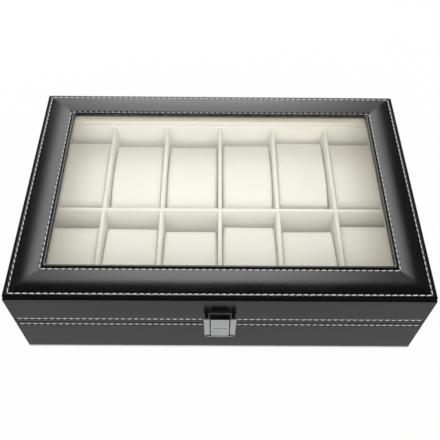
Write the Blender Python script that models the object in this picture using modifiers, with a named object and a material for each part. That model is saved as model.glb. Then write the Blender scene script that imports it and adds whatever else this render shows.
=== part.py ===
"""A twelve-place watch display case with a glass lid.

A board box wrapped in black leathercloth, parted into a base and a hinged lid.
The base holds velvet liners, notched dividers and twelve loose pillows, and the
lid holds a padded panel, a glass pane and a drop-down snap latch.

Units are metres, +Z is up and the front of the case faces -Y. The origin is on
the floor under the middle of the case.
"""

import math

import bmesh
import bpy
from mathutils import Matrix, Vector

# Size of the case and where the lid parts from the base
CASE_WIDTH = 0.300
CASE_DEPTH = 0.200
BASE_HEIGHT = 0.042
LID_WALL_HEIGHT = 0.0345
CORNER_RADIUS = 0.0015
CORNER_STEPS = 3
RIM_RADIUS = 0.0007
RIM_STEPS = 3

# Gaps between pieces that are glued, rest on each other or run past each other
GAP = 0.0003
SPLIT_GAP = 0.0003
RUNNING_GAP = 0.00015
OVERRUN = 0.001

# Thickness of the sheets and boards in the walls and floor
LEATHER = 0.0009
LEATHER_TURN_UNDER = 0.010
FELT = 0.0005
FELT_INSET = 0.004
WALL_BOARD = 0.0042
BOTTOM_BOARD = 0.003
LINER = 0.0018
FLOOR_CARD = 0.0015
LIP_RISE = 0.0065
LIP_CLEARANCE = 0.0005
LIP_SHADOW_GAP = 0.0005
LINER_EDGE_RADIUS = 0.0006

# Notched dividers
COLUMNS = 6
ROWS = 2
DIVIDER = 0.003
DIVIDER_HEIGHT = 0.039
DIVIDER_EDGE_RADIUS = 0.0009
EDGE_STEPS = 2

# Pillows, with how far each one lies from the middle of its place
PILLOW_SIDE_GAP = 0.0010
PILLOW_LENGTH = 0.079
PILLOW_HEIGHT = 0.0255
PILLOW_CROWN = 0.0022
PILLOW_STEPS = (2, 4, 1)
pillow_side_draw_share = 0.045
pillow_end_draw_share = 0.025
pillow_bottom_draw_share = 0.05
pillow_end_drop_share = 0.10
front_shift_shares = (0.05, -0.15, -0.45, 0.22, -0.40, 0.55)
back_shift_shares = (0.28, -0.25, -0.45, 0.05, 0.52, 0.30)

# Padded panel round the window, which lies a little behind the middle
PANEL_INSET = 0.001
PANEL_EDGE = 0.0027
PANEL_EDGE_RADIUS = 0.0012
PANEL_CORNER_RADIUS = 0.0028
PANEL_CROWN = 0.0013
PANEL_FLANGE = 0.0008
CROWN_STEPS = 6
STITCH_INSET = 0.002
STITCH_TO_WINDOW = 0.0033
STITCH_DIP = 0.00015
FRAME_SIDE = 0.025
FRAME_FRONT = 0.0262
FRAME_BACK = 0.0238
WINDOW_CORNER_RADIUS = 0.0014
WINDOW_BEAD = 0.0006
WINDOW_BEAD_OUT = 0.0016
WINDOW_ROLL = 0.0020
WINDOW_ROLL_STEPS = 3

# Glass and the covered strips that hold it up
GLASS = 0.002
GLASS_LAP = 0.006
RETAINER = 0.0043
RETAINER_SETBACK = 0.0005

# Stop hinges at the back
HINGE_FROM_END = 0.055
HINGE_LENGTH = 0.030
HINGE_LEAF = 0.0008
HINGE_BARREL_RADIUS = 0.0021
HINGE_PIN_RADIUS = 0.0008
HINGE_MIDDLE_KNUCKLE = 0.010
HINGE_TAIL_REACH = 0.0046
HINGE_END_STEP = 0.0002
HINGE_OPENING = math.radians(100)
SCREW_SPACING = 0.019
SCREW_SHANK_RADIUS = 0.0007
SCREW_LENGTH = 0.005
SCREW_POINT = 0.0012

# Drop-down latch at the front
LATCH_WIDTH = 0.0234
latch_taper_share = 0.14
LATCH_RISE = 0.0166
LATCH_WING_DROP = 0.0104
LATCH_STAND = 0.0056
LATCH_BULGE = 0.0007
LATCH_METAL = 0.0008
LATCH_ARC_STEPS = 8
LATCH_PLATE_DROP = 0.0150
LATCH_PIN_RISE = 0.0146
LATCH_PIN_STAND = 0.0035
LATCH_PIN_RADIUS = 0.0008
LATCH_PIN_END = 0.0006
FLAP_WIDTH = 0.0132
FLAP_GROOVE = 0.0008
FLAP_EAR_RADIUS = 0.0017
FLAP_LINE_HEIGHT = 0.0034
FLAP_LINE_WIDTH = 0.0005
FLAP_LINE_DEPTH = 0.00025
FLAP_LINE_MARGIN = 0.0015
FINGER_LIP_WIDTH = 0.0208
FINGER_LIP_BACK = 0.0032
FINGER_LIP_FLARE = 0.0003
FINGER_LIP_END = 0.0005
FINGER_LIP_SAG = 0.0009
FINGER_LIP_STEPS = 8
SNAP_BEAD_DROP = 0.0080
SNAP_BEAD = 0.0010
SNAP_WIDTH = 0.009
CATCH_WIDTH = 0.0104
CATCH_METAL = 0.0008
CATCH_LOW_DROP = 0.0092
CATCH_HIGH_DROP = 0.0024
CATCH_NOSE = 0.0021
CATCH_NOSE_LOW_DROP = 0.0062
CATCH_NOSE_SLOPE = 0.0006
CATCH_NOSE_FACE = 0.0008
CATCH_NOSE_BACK_SLOPE = 0.0014
RIVET_HEAD_RADIUS = 0.0011
RIVET_HEAD_HEIGHT = 0.0005
rivet_dome_share = 0.75
RIVET_SHANK_RADIUS = 0.0008
BRACKET_RIVET_SPACING = 0.0084
BRACKET_RIVET_RISE = 0.0080
CATCH_RIVET_SPACING = 0.0064
CATCH_RIVET_DROP = 0.0078

# Sides on round pieces, and how their edges are drawn
BARREL_SIDES = 20
FASTENER_SIDES = 12
PIN_SIDES = 16
round_profile_share = 0.5
WELD = 0.00001
SHARP_ANGLE = math.radians(35)

# Finish of each kind of sheet or metal: colour, roughness and metallic value
FINISHES = {
    "leathercloth": ((0.012, 0.012, 0.013), 0.28, 0.0),
    "board": ((0.36, 0.25, 0.15), 0.85, 0.0),
    "felt": ((0.010, 0.010, 0.011), 0.95, 0.0),
    "velvet": ((0.86, 0.83, 0.72), 0.92, 0.0),
    "lid_velvet": ((0.87, 0.81, 0.72), 0.92, 0.0),
    "foam": ((0.75, 0.73, 0.66), 0.95, 0.0),
    "glass": ((0.93, 0.96, 0.95), 0.03, 0.0),
    "chrome": ((0.60, 0.61, 0.61), 0.18, 1.0),
    "nickel": ((0.52, 0.51, 0.48), 0.30, 1.0),
}


def inset(line, amount):
    """A line that lies inside another, with the same middle."""
    return (line[0] - amount, line[1] - amount, *line[2:])


def depth_reach(line):
    """Where a line begins and ends along Y, about its middle where it has one."""
    middle = sum(line[2:])
    return (middle - line[1], middle + line[1])


# Lines of the wall from the outside in, as half width and half depth
case_half = (CASE_WIDTH / 2, CASE_DEPTH / 2)
leather_inner = inset(case_half, LEATHER)
board_outer = inset(leather_inner, GAP)
board_inner = inset(board_outer, WALL_BOARD)
liner_outer = inset(board_inner, GAP)
liner_inner = inset(liner_outer, LINER)
lid_board_inner = inset(liner_outer, -LIP_CLEARANCE)
lid_liner_outer = inset(lid_board_inner, GAP)
lid_liner_inner = inset(lid_liner_outer, LINER)

# Lines of the panel from the outside in, as half width, half depth and the place of the middle along Y
panel_line = (*inset(case_half, PANEL_INSET), 0)
window_depth = CASE_DEPTH - FRAME_FRONT - FRAME_BACK
window_line = (case_half[0] - FRAME_SIDE, window_depth / 2, (FRAME_FRONT - FRAME_BACK) / 2)
glass_line = inset(window_line, -GLASS_LAP)

# Levels of the base, from the floor up
wrap_low = FELT + GAP
bottom_board_low = wrap_low + LEATHER + GAP
bottom_board_top = bottom_board_low + BOTTOM_BOARD
wall_low = bottom_board_top + GAP
floor_card_top = wall_low + FLOOR_CARD
cell_floor = floor_card_top + GAP
base_top = BASE_HEIGHT - SPLIT_GAP / 2
wall_top = base_top - LEATHER - GAP
lip_top = BASE_HEIGHT + LIP_RISE
divider_top = cell_floor + DIVIDER_HEIGHT

# Levels of the lid, from its lower edge up
lid_low = BASE_HEIGHT + SPLIT_GAP / 2
lid_wall_low = lid_low + LEATHER + GAP
lid_top = BASE_HEIGHT + LID_WALL_HEIGHT
lid_wall_top = lid_top - LEATHER - GAP
panel_low = lid_top + GAP
panel_edge_top = panel_low + PANEL_EDGE
panel_board_top = panel_low + PANEL_FLANGE
glass_top = panel_low - GAP
glass_low = glass_top - GLASS
retainer_top = glass_low - GAP
retainer_low = retainer_top - RETAINER
lid_liner_low = lip_top + LIP_SHADOW_GAP
lid_liner_top = retainer_low - GAP

# Joint axes
hinge_y = case_half[1] + GAP + HINGE_BARREL_RADIUS
hinge_z = BASE_HEIGHT
latch_y = -case_half[1] - LATCH_PIN_STAND
latch_z = BASE_HEIGHT + LATCH_PIN_RISE


def clear_scene():
    """Take every object out of the open file."""
    for old in list(bpy.data.objects):
        bpy.data.objects.remove(old, do_unlink=True)


def new_group(name, hidden=False):
    """A collection for the pieces or for the cutters."""
    group = bpy.data.collections.new(name)
    group.hide_render = hidden
    bpy.context.scene.collection.children.link(group)
    return group


clear_scene()
CASE = new_group("watch_display_case")
CUTTERS = new_group("cutters", hidden=True)


def finish_of(name, kind):
    """The material of one piece."""
    colour, roughness, metallic = FINISHES[kind]
    material = bpy.data.materials.new(name)
    material.use_nodes = True
    shader = material.node_tree.nodes["Principled BSDF"]
    shader.inputs["Base Color"].default_value = (*colour, 1)
    shader.inputs["Roughness"].default_value = roughness
    shader.inputs["Metallic"].default_value = metallic
    if kind == "glass":
        shader.inputs["Transmission Weight"].default_value = 1
    return material


def joint_empty(name, place, holder=None):
    """An empty on a joint's axis, which carries the pieces that move with it."""
    empty = bpy.data.objects.new(name, None)
    CASE.objects.link(empty)
    empty.location = place
    hang(empty, holder)
    return empty


def hang(piece, holder):
    """Carry a piece with an empty, and leave it where it stands."""
    if holder is None:
        return
    piece.parent = holder
    piece.matrix_parent_inverse = Matrix.Translation(holder.location).inverted()


def add_piece(name, shape, place, kind, holder=None, smooth=True):
    """Turn a bmesh into a named piece of the case."""
    mesh = bpy.data.meshes.new(name)
    shape.normal_update()
    shape.to_mesh(mesh)
    shape.free()
    if smooth:
        mesh.shade_smooth()
        mesh.set_sharp_from_angle(angle=SHARP_ANGLE)
    piece = bpy.data.objects.new(name, mesh)
    piece.location = place
    mesh.materials.append(finish_of(name, kind))
    CASE.objects.link(piece)
    hang(piece, holder)
    return piece


def add_cutter(name, shape, place=(0, 0, 0), turn=0):
    """Turn a bmesh into a hidden cutter, turned about X at its place."""
    mesh = bpy.data.meshes.new(name)
    shape.normal_update()
    shape.to_mesh(mesh)
    shape.free()
    cutter = bpy.data.objects.new(name, mesh)
    cutter.location = place
    cutter.rotation_euler = (turn, 0, 0)
    cutter.hide_render = True
    cutter.display_type = "WIRE"
    CUTTERS.objects.link(cutter)
    return cutter


def combine(piece, tool, operation="DIFFERENCE"):
    """Cut a piece with a tool, or join the tool to it."""
    modifier = piece.modifiers.new(tool.name, "BOOLEAN")
    modifier.operation = operation
    modifier.solver = "EXACT"
    modifier.object = tool


def block_shape(x, y, z):
    """A block between two places along each axis, and the middle of it."""
    shape = bmesh.new()
    bmesh.ops.create_cube(shape, size=1)
    size = Vector((x[1] - x[0], y[1] - y[0], z[1] - z[0]))
    bmesh.ops.scale(shape, vec=size, verts=shape.verts)
    middle = Vector((x[0] + x[1], y[0] + y[1], z[0] + z[1])) / 2
    return shape, middle


def round_edges(shape, radius, steps, wanted):
    """Round the edges of a shape for which wanted(edge) is true."""
    edges = [edge for edge in shape.edges if wanted(edge)]
    bmesh.ops.bevel(
        shape,
        geom=edges,
        offset=radius,
        segments=steps,
        profile=round_profile_share,
        affect="EDGES",
    )


def is_upright(edge):
    """True for an edge that runs up and down."""
    return abs(edge.verts[0].co.z - edge.verts[1].co.z) > WELD


def is_level(edge):
    """True for an edge that lies level."""
    return not is_upright(edge)


def is_long_top(axis):
    """A test for the long edges on top of a strip that runs along an axis."""
    def wanted(edge):
        first, second = edge.verts[0].co, edge.verts[1].co
        return first.z > 0 and second.z > 0 and abs(first[axis] - second[axis]) > WELD
    return wanted


def block(name, x, y, z, kind, holder=None):
    """A plain board or strip."""
    shape, middle = block_shape(x, y, z)
    return add_piece(name, shape, middle, kind, holder, smooth=False)


def block_cutter(name, x, y, z):
    """A plain cutter."""
    shape, middle = block_shape(x, y, z)
    return add_cutter(name, shape, middle)


def both_ways(half):
    """From minus a half size to plus it."""
    return (-half, half)


def shifted(reach, centre):
    """Move a reach to another middle."""
    return (reach[0] + centre, reach[1] + centre)


def narrowed(reach, amount):
    """Draw both ends of a reach in."""
    return (reach[0] + amount, reach[1] - amount)


def rod_shape(radius, ends, sides):
    """A round rod along X between two places."""
    shape = bmesh.new()
    length = ends[1] - ends[0]
    turn = Matrix.Rotation(math.pi / 2, 4, "Y")
    shift = Matrix.Translation(((ends[0] + ends[1]) / 2, 0, 0))
    bmesh.ops.create_cone(
        shape,
        cap_ends=True,
        segments=sides,
        radius1=radius,
        radius2=radius,
        depth=length,
        matrix=shift @ turn,
    )
    return shape


def plate_shape(outline, half_width):
    """An outline in Y and Z, made a solid that reaches both ways along X."""
    shape = bmesh.new()
    corners = [shape.verts.new((-half_width, y, z)) for y, z in outline]
    face = shape.faces.new(corners)
    grown = bmesh.ops.extrude_face_region(shape, geom=[face])
    moved = [item for item in grown["geom"] if isinstance(item, bmesh.types.BMVert)]
    bmesh.ops.translate(shape, vec=(half_width * 2, 0, 0), verts=moved)
    bmesh.ops.recalc_face_normals(shape, faces=shape.faces)
    return shape


def turned(shape, profile, place, sides):
    """Add a turned solid to a shape: profile is (radius, distance) along the axis of place."""
    ring = [shape.verts.new((radius, 0, along)) for radius, along in profile]
    edges = [shape.edges.new(pair) for pair in zip(ring, ring[1:])]
    bmesh.ops.spin(
        shape,
        geom=ring + edges,
        cent=(0, 0, 0),
        axis=(0, 0, 1),
        angle=math.tau,
        steps=sides,
        use_merge=True,
    )
    fresh = [vert for vert in shape.verts if not vert.tag]
    bmesh.ops.remove_doubles(shape, verts=fresh, dist=WELD)
    fresh = [vert for vert in shape.verts if not vert.tag]
    bmesh.ops.transform(shape, matrix=place, verts=fresh)
    for vert in fresh:
        vert.tag = True


def turned_group(profile, places, sides):
    """Equal turned solids at several places."""
    shape = bmesh.new()
    for place in places:
        turned(shape, profile, place, sides)
    bmesh.ops.recalc_face_normals(shape, faces=shape.faces)
    return shape


def four_walls(name, outer, inner, levels, kind, holder=None):
    """Front and back pieces of full width, with the side pieces fitted between them."""
    full = both_ways(outer[0])
    outer_reach = depth_reach(outer)
    inner_reach = depth_reach(inner)
    between = narrowed(inner_reach, GAP)
    reaches = {
        "front": (full, (outer_reach[0], inner_reach[0])),
        "back": (full, (inner_reach[1], outer_reach[1])),
        "left": ((-outer[0], -inner[0]), between),
        "right": ((inner[0], outer[0]), between),
    }
    return {side: block(name.format(side), x, y, levels, kind, holder) for side, (x, y) in reaches.items()}


def soften_rim(piece):
    """Round the rims of a cloth-covered card."""
    modifier = piece.modifiers.new("rounded_rim", "BEVEL")
    modifier.width = LINER_EDGE_RADIUS
    modifier.segments = EDGE_STEPS
    modifier.limit_method = "ANGLE"


def wrapped_skin(name, low, high, low_opening, high_opening, holder=None):
    """The leathercloth round four walls, turned in over the boards at both edges."""
    shape, middle = block_shape(both_ways(case_half[0]), both_ways(case_half[1]), (low, high))
    round_edges(shape, CORNER_RADIUS, CORNER_STEPS, is_upright)
    round_edges(shape, RIM_RADIUS, RIM_STEPS, is_level)
    skin = add_piece(name, shape, middle, "leathercloth", holder)
    inside = (low + LEATHER, high - LEATHER)
    room = block_cutter(name + "_room", both_ways(leather_inner[0]), both_ways(leather_inner[1]), inside)
    combine(skin, room)
    low_cut = (low - OVERRUN, low + LEATHER + OVERRUN)
    high_cut = (high - LEATHER - OVERRUN, high + OVERRUN)
    for label, half, levels in (("low", low_opening, low_cut), ("high", high_opening, high_cut)):
        opening = block_cutter(f"{name}_{label}_opening", both_ways(half[0]), both_ways(half[1]), levels)
        combine(skin, opening)
    return skin


def rounded_loop(line, radius, height):
    """Points round a rectangle with rounded corners at one height."""
    points = []
    depth = narrowed(depth_reach(line), radius)
    for corner in range(4):
        side_x = 1 if corner in (0, 3) else -1
        centre_y = depth[1] if corner in (0, 1) else depth[0]
        centre = Vector((side_x * (line[0] - radius), centre_y, height))
        for step in range(CORNER_STEPS + 1):
            angle = (corner + step / CORNER_STEPS) * math.pi / 2
            points.append(centre + radius * Vector((math.cos(angle), math.sin(angle), 0)))
    return points


def loft(loops, closed):
    """A skin through loops of equal count, closed on itself where the loops go full round."""
    shape = bmesh.new()
    rings = []
    for points in loops:
        verts = [shape.verts.new(point) for point in points]
        edges = [shape.edges.new((verts[i], verts[(i + 1) % len(verts)])) for i in range(len(verts))]
        rings.append(edges)
    pairs = list(zip(rings, rings[1:]))
    if closed:
        pairs.append((rings[-1], rings[0]))
    for first, second in pairs:
        bmesh.ops.bridge_loops(shape, edges=first + second)
    bmesh.ops.recalc_face_normals(shape, faces=shape.faces)
    return shape


# Base: felt, bottom board, four walls and the leathercloth round them
felt_half = inset(case_half, FELT_INSET)
block("base_felt_pad", both_ways(felt_half[0]), both_ways(felt_half[1]), (0, FELT), "felt")
block(
    "base_bottom_board",
    both_ways(board_outer[0]),
    both_ways(board_outer[1]),
    (bottom_board_low, bottom_board_top),
    "board",
)
base_boards = four_walls("base_{}_board", board_outer, board_inner, (wall_low, wall_top), "board")
base_skin = wrapped_skin(
    "base_leather_wrap", wrap_low, base_top, inset(case_half, LEATHER_TURN_UNDER), board_inner
)

# Base lining: a covered floor card and four liners that stand up as the lip inside the lid
floor_half = inset(board_inner, GAP)
block(
    "base_floor_liner",
    both_ways(floor_half[0]),
    both_ways(floor_half[1]),
    (wall_low, floor_card_top),
    "velvet",
)
for liner in four_walls("base_{}_liner", liner_outer, liner_inner, (cell_floor, lip_top), "velvet").values():
    soften_rim(liner)

# Dividers: a long one notched from below and five short ones notched from above
column_pitch = (2 * liner_inner[0] + DIVIDER) / COLUMNS
row_pitch = (2 * liner_inner[1] + DIVIDER) / ROWS
divider_places = [(column - COLUMNS / 2) * column_pitch for column in range(1, COLUMNS)]
notch_half = DIVIDER / 2 + GAP
notch_middle = (cell_floor + divider_top) / 2


def divider(name, x, y):
    """A covered card on edge, with its top rounded."""
    shape, middle = block_shape(x, y, (cell_floor, divider_top))
    along = 0 if x[1] - x[0] > y[1] - y[0] else 1
    round_edges(shape, DIVIDER_EDGE_RADIUS, EDGE_STEPS, is_long_top(along))
    return add_piece(name, shape, middle, "velvet")


long_divider = divider("long_divider", both_ways(liner_inner[0] - GAP), both_ways(DIVIDER / 2))
top_notch = block_cutter(
    "top_notch",
    both_ways(case_half[0]),
    both_ways(notch_half),
    (notch_middle - GAP / 2, divider_top + OVERRUN),
)
cross_reach = both_ways(liner_inner[1] - GAP)
for number, place in enumerate(divider_places, start=1):
    cross = divider(f"cross_divider_{number}", (place - DIVIDER / 2, place + DIVIDER / 2), cross_reach)
    combine(cross, top_notch)
    low_notch = block_cutter(
        f"low_notch_{number}",
        (place - notch_half, place + notch_half),
        both_ways(notch_half),
        (cell_floor - OVERRUN, notch_middle + GAP / 2),
    )
    combine(long_divider, low_notch)


def pillow_mesh(half_width, half_length):
    """A soft block with a crowned top and sides drawn in between its corners."""
    shape = bmesh.new()
    bmesh.ops.create_cube(shape, size=2)
    for axis, cuts in enumerate(PILLOW_STEPS):
        edges = [edge for edge in shape.edges if edge.verts[0].co[axis] != edge.verts[1].co[axis]]
        bmesh.ops.subdivide_edges(shape, edges=edges, cuts=cuts, use_grid_fill=True)
    for vert in shape.verts:
        a, b, c = vert.co
        draw = pillow_bottom_draw_share if c < 0 else 0
        vert.co.x = a * half_width * (1 - pillow_side_draw_share * (1 - b * b) - draw)
        vert.co.y = b * half_length * (1 - pillow_end_draw_share * (1 - a * a) - draw)
        share = (c + 1) / 2
        vert.co.z = share * PILLOW_HEIGHT * (1 - pillow_end_drop_share * b * b)
        vert.co.z += share * PILLOW_CROWN * (1 - a * a) * (1 - b * b)
    mesh = bpy.data.meshes.new("pillow")
    shape.to_mesh(mesh)
    shape.free()
    mesh.shade_smooth()
    return mesh


# Pillows: twelve loose velvet pillows, each free to lift out of its place
cell_width = column_pitch - DIVIDER
cell_length = row_pitch - DIVIDER
pillow_form = pillow_mesh(cell_width / 2 - PILLOW_SIDE_GAP, PILLOW_LENGTH / 2)
pillow_form.materials.append(finish_of("pillow_velvet", "velvet"))
spare = (cell_length - PILLOW_LENGTH) / 2
for row, shifts in enumerate((front_shift_shares, back_shift_shares)):
    for column, shift in enumerate(shifts):
        pillow = bpy.data.objects.new(f"pillow_{row * COLUMNS + column + 1}", pillow_form)
        pillow.location = (
            (column + 0.5 - COLUMNS / 2) * column_pitch,
            (row + 0.5 - ROWS / 2) * row_pitch + shift * spare,
            cell_floor,
        )
        CASE.objects.link(pillow)
        softness = pillow.modifiers.new("softness", "SUBSURF")
        softness.levels = 1
        softness.render_levels = 1

# Lid: four walls and the leathercloth round them, all carried on the hinge axis
lid_axis = joint_empty("lid_axis", (0, hinge_y, hinge_z))
lid_wall_levels = (lid_wall_low, lid_wall_top)
lid_boards = four_walls("lid_{}_board", board_outer, lid_board_inner, lid_wall_levels, "board", lid_axis)
lid_skin = wrapped_skin("lid_leather_wrap", lid_low, lid_top, lid_board_inner, lid_board_inner, lid_axis)
liner_levels = (lid_liner_low, lid_liner_top)
lid_liners = four_walls(
    "lid_{}_liner", lid_liner_outer, lid_liner_inner, liner_levels, "lid_velvet", lid_axis
)
for liner in lid_liners.values():
    soften_rim(liner)


def strip_line(distance_out=None, share=None, distance_in=None):
    """A line on the panel, placed from its outer edge, from its window or between the stitches."""
    if distance_out is not None:
        return inset(panel_line, distance_out)
    if distance_in is not None:
        return inset(window_line, -distance_in)
    first = inset(panel_line, STITCH_INSET)
    last = inset(window_line, -STITCH_TO_WINDOW)
    return tuple(a + (b - a) * share for a, b in zip(first, last))


def corner_at(line):
    """Corner radius of a line, blended from the panel's outer edge to the window."""
    share = (panel_line[0] - line[0]) / (panel_line[0] - window_line[0])
    return PANEL_CORNER_RADIUS + (WINDOW_CORNER_RADIUS - PANEL_CORNER_RADIUS) * share


def crown_at(share):
    """Height of the padded panel between its two lines of stitches."""
    return panel_edge_top - STITCH_DIP + PANEL_CROWN * math.sin(math.pi * share)


# Padded panel: a board that fits into the walls, foam on it and leathercloth pulled over both. The glass lies
# in a rebate from below, flush with the underside of the board.
window_edge = inset(window_line, -(LEATHER + GAP))
panel_edge = inset(panel_line, LEATHER + GAP)
shape, middle = block_shape(both_ways(panel_edge[0]), both_ways(panel_edge[1]), (panel_low, panel_board_top))
round_edges(shape, PANEL_CORNER_RADIUS - LEATHER - GAP, CORNER_STEPS, is_upright)
panel_board = add_piece("lid_panel_board", shape, middle, "board", lid_axis, smooth=False)
spigot = block_cutter(
    "panel_spigot",
    both_ways(lid_liner_outer[0]),
    both_ways(lid_liner_outer[1]),
    (glass_low, (panel_low + panel_board_top) / 2),
)
combine(panel_board, spigot, "UNION")
panel_window = block_cutter(
    "panel_window",
    both_ways(window_edge[0]),
    depth_reach(window_edge),
    (glass_low - OVERRUN, panel_board_top + OVERRUN),
)
combine(panel_board, panel_window)
rebate = inset(glass_line, -GAP)
glass_rebate = block_cutter(
    "glass_rebate", both_ways(rebate[0]), depth_reach(rebate), (glass_low - OVERRUN, panel_low)
)
combine(panel_board, glass_rebate)

bead_in = STITCH_TO_WINDOW - WINDOW_BEAD_OUT
bead_top = panel_edge_top + WINDOW_BEAD
bead_rise = (strip_line(distance_in=(bead_in + STITCH_TO_WINDOW) / 2), (panel_edge_top + bead_top) / 2)


def bead_line(step):
    """A line over the bead at the window and its height, from the bead's top to where its roll ends."""
    angle = math.pi / 2 * step / WINDOW_ROLL_STEPS
    height = bead_top - WINDOW_ROLL * (1 - math.cos(angle))
    return strip_line(distance_in=bead_in * (1 - math.sin(angle))), height


edge_turn = PANEL_EDGE_RADIUS * (1 - math.cos(math.pi / 4))
cover_lines = [
    (strip_line(distance_out=0), panel_low),
    (strip_line(distance_out=0), panel_edge_top - PANEL_EDGE_RADIUS),
    (strip_line(distance_out=edge_turn), panel_edge_top - edge_turn),
    (strip_line(distance_out=PANEL_EDGE_RADIUS), panel_edge_top),
]
crown_shares = [step / CROWN_STEPS for step in range(CROWN_STEPS + 1)]
cover_lines += [(strip_line(share=share), crown_at(share)) for share in crown_shares]
cover_lines.append(bead_rise)
cover_lines += [bead_line(step) for step in range(WINDOW_ROLL_STEPS + 1)]
cover_lines.append((strip_line(distance_in=0), panel_low))
cover = add_piece(
    "lid_panel_leather",
    loft([rounded_loop(half, corner_at(half), height) for half, height in cover_lines], closed=False),
    (0, 0, 0),
    "leathercloth",
    lid_axis,
)
cloth = cover.modifiers.new("cloth_thickness", "SOLIDIFY")
cloth.thickness = LEATHER
cloth.offset = -1
cloth.use_even_offset = True

foam_low = panel_board_top + GAP
foam_lines = [(strip_line(share=crown_shares[-1]), foam_low), (strip_line(share=crown_shares[0]), foam_low)]
foam_lines += [(strip_line(share=share), crown_at(share) - LEATHER - GAP) for share in crown_shares]
add_piece(
    "lid_panel_foam",
    loft([rounded_loop(half, corner_at(half), height) for half, height in foam_lines], closed=True),
    (0, 0, 0),
    "foam",
    lid_axis,
)

# Glass pane, held up in its rebate by four covered strips
glass_levels = (glass_low, glass_top)
block("glass_pane", both_ways(glass_line[0]), depth_reach(glass_line), glass_levels, "glass", lid_axis)
retainer_inner = inset(window_line, -RETAINER_SETBACK)
retainer_levels = (retainer_low, retainer_top)
retainers = four_walls(
    "glass_retainer_{}", lid_liner_outer, retainer_inner, retainer_levels, "lid_velvet", lid_axis
)
for strip in retainers.values():
    soften_rim(strip)


# Hinges: each leaf is a plate with its knuckles, its two screws and a tail that stops the lid
leaf_front = lid_board_inner[1] + GAP
leaf_reach = (-HINGE_LENGTH / 2, HINGE_LENGTH / 2)
middle_reach = both_ways(HINGE_MIDDLE_KNUCKLE / 2)
outer_reaches = (
    (leaf_reach[0], middle_reach[0] - GAP),
    (middle_reach[1] + GAP, leaf_reach[1]),
)
pin_bore = HINGE_PIN_RADIUS + RUNNING_GAP
tail_root = (pin_bore + HINGE_BARREL_RADIUS) / 2
tail_clear = HINGE_BARREL_RADIUS + GAP
screw_y = (leaf_front + board_outer[1]) / 2
mating_gap = SPLIT_GAP / 2


def tail_cutter(name, reach, radii, side):
    """A flat tail that slopes away from the barrel, on the base side or the lid side."""
    levels = sorted((side * mating_gap, side * (mating_gap + HINGE_LEAF)))
    shape = bmesh.new()
    bmesh.ops.create_cube(shape, size=1)
    size = Vector((reach[1] - reach[0], radii[1] - radii[0], levels[1] - levels[0]))
    bmesh.ops.scale(shape, vec=size, verts=shape.verts)
    middle = Vector((reach[0] + reach[1], radii[0] + radii[1], levels[0] + levels[1])) / 2
    bmesh.ops.translate(shape, vec=middle, verts=shape.verts)
    return add_cutter(name, shape, (0, hinge_y, hinge_z), side * HINGE_OPENING / 2)


def screw_places(side, centres):
    """Where the screws of a leaf stand, pointing into the board."""
    turn = Matrix.Identity(4) if side < 0 else Matrix.Rotation(math.pi, 4, "X")
    height = hinge_z + side * mating_gap
    return [
        Matrix.Translation((centre + offset, screw_y, height)) @ turn
        for centre in centres
        for offset in (-SCREW_SPACING / 2, SCREW_SPACING / 2)
    ]


screw_profile = [
    (0, -HINGE_LEAF / 2),
    (SCREW_SHANK_RADIUS, -HINGE_LEAF / 2),
    (SCREW_SHANK_RADIUS, SCREW_POINT - SCREW_LENGTH),
    (0, -SCREW_LENGTH),
]
screw_hole_profile = [
    (0, 0),
    (SCREW_SHANK_RADIUS + GAP, 0),
    (SCREW_SHANK_RADIUS + GAP, -SCREW_LENGTH - GAP),
    (0, -SCREW_LENGTH - GAP),
]


def hinge_leaf(name, centre, side, own_reaches, other_reaches, holder):
    """One leaf: side -1 lies in the base and side 1 lies in the lid."""
    axis_place = (0, hinge_y, hinge_z)
    levels = sorted((hinge_z + side * mating_gap, hinge_z + side * (mating_gap + HINGE_LEAF)))
    plate_reach = shifted(narrowed(leaf_reach, HINGE_END_STEP), centre)
    leaf = block(name, plate_reach, (leaf_front, hinge_y), levels, "nickel", holder)
    tail_reach = leaf_reach if side < 0 else middle_reach
    tail_reach = shifted(narrowed(tail_reach, 2 * HINGE_END_STEP), centre)
    combine(leaf, tail_cutter(f"{name}_tail", tail_reach, (tail_root, HINGE_TAIL_REACH), side), "UNION")
    for number, reach in enumerate(other_reaches):
        wide = shifted(narrowed(reach, -GAP), centre)
        room = add_cutter(f"{name}_room_{number}", rod_shape(tail_clear, wide, BARREL_SIDES), axis_place)
        combine(leaf, room)
    for number, reach in enumerate(own_reaches):
        barrel = rod_shape(HINGE_BARREL_RADIUS, shifted(reach, centre), BARREL_SIDES)
        combine(leaf, add_cutter(f"{name}_knuckle_{number}", barrel, axis_place), "UNION")
    ends = shifted(narrowed(leaf_reach, -OVERRUN), centre)
    combine(leaf, add_cutter(f"{name}_bore", rod_shape(pin_bore, ends, PIN_SIDES), axis_place))
    screws = turned_group(screw_profile, screw_places(side, [centre]), FASTENER_SIDES)
    combine(leaf, add_cutter(f"{name}_screws", screws), "UNION")
    return leaf


def leaf_mortise(name, centre, side):
    """The notch in the leathercloth that lets a leaf lie flush."""
    wide = shifted((leaf_reach[0] - GAP, leaf_reach[1] + GAP), centre)
    levels = sorted((hinge_z, hinge_z + side * (mating_gap + HINGE_LEAF + GAP)))
    return block_cutter(name, wide, (board_inner[1] - OVERRUN, case_half[1] + OVERRUN), levels)


hinge_centres = {"left": HINGE_FROM_END - case_half[0], "right": case_half[0] - HINGE_FROM_END}
for label, centre in hinge_centres.items():
    hinge_leaf(f"hinge_leaf_base_{label}", centre, -1, outer_reaches, [middle_reach], None)
    hinge_leaf(f"hinge_leaf_lid_{label}", centre, 1, [middle_reach], outer_reaches, lid_axis)
    combine(base_skin, leaf_mortise(f"base_mortise_{label}", centre, -1))
    combine(lid_skin, leaf_mortise(f"lid_mortise_{label}", centre, 1))

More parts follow.
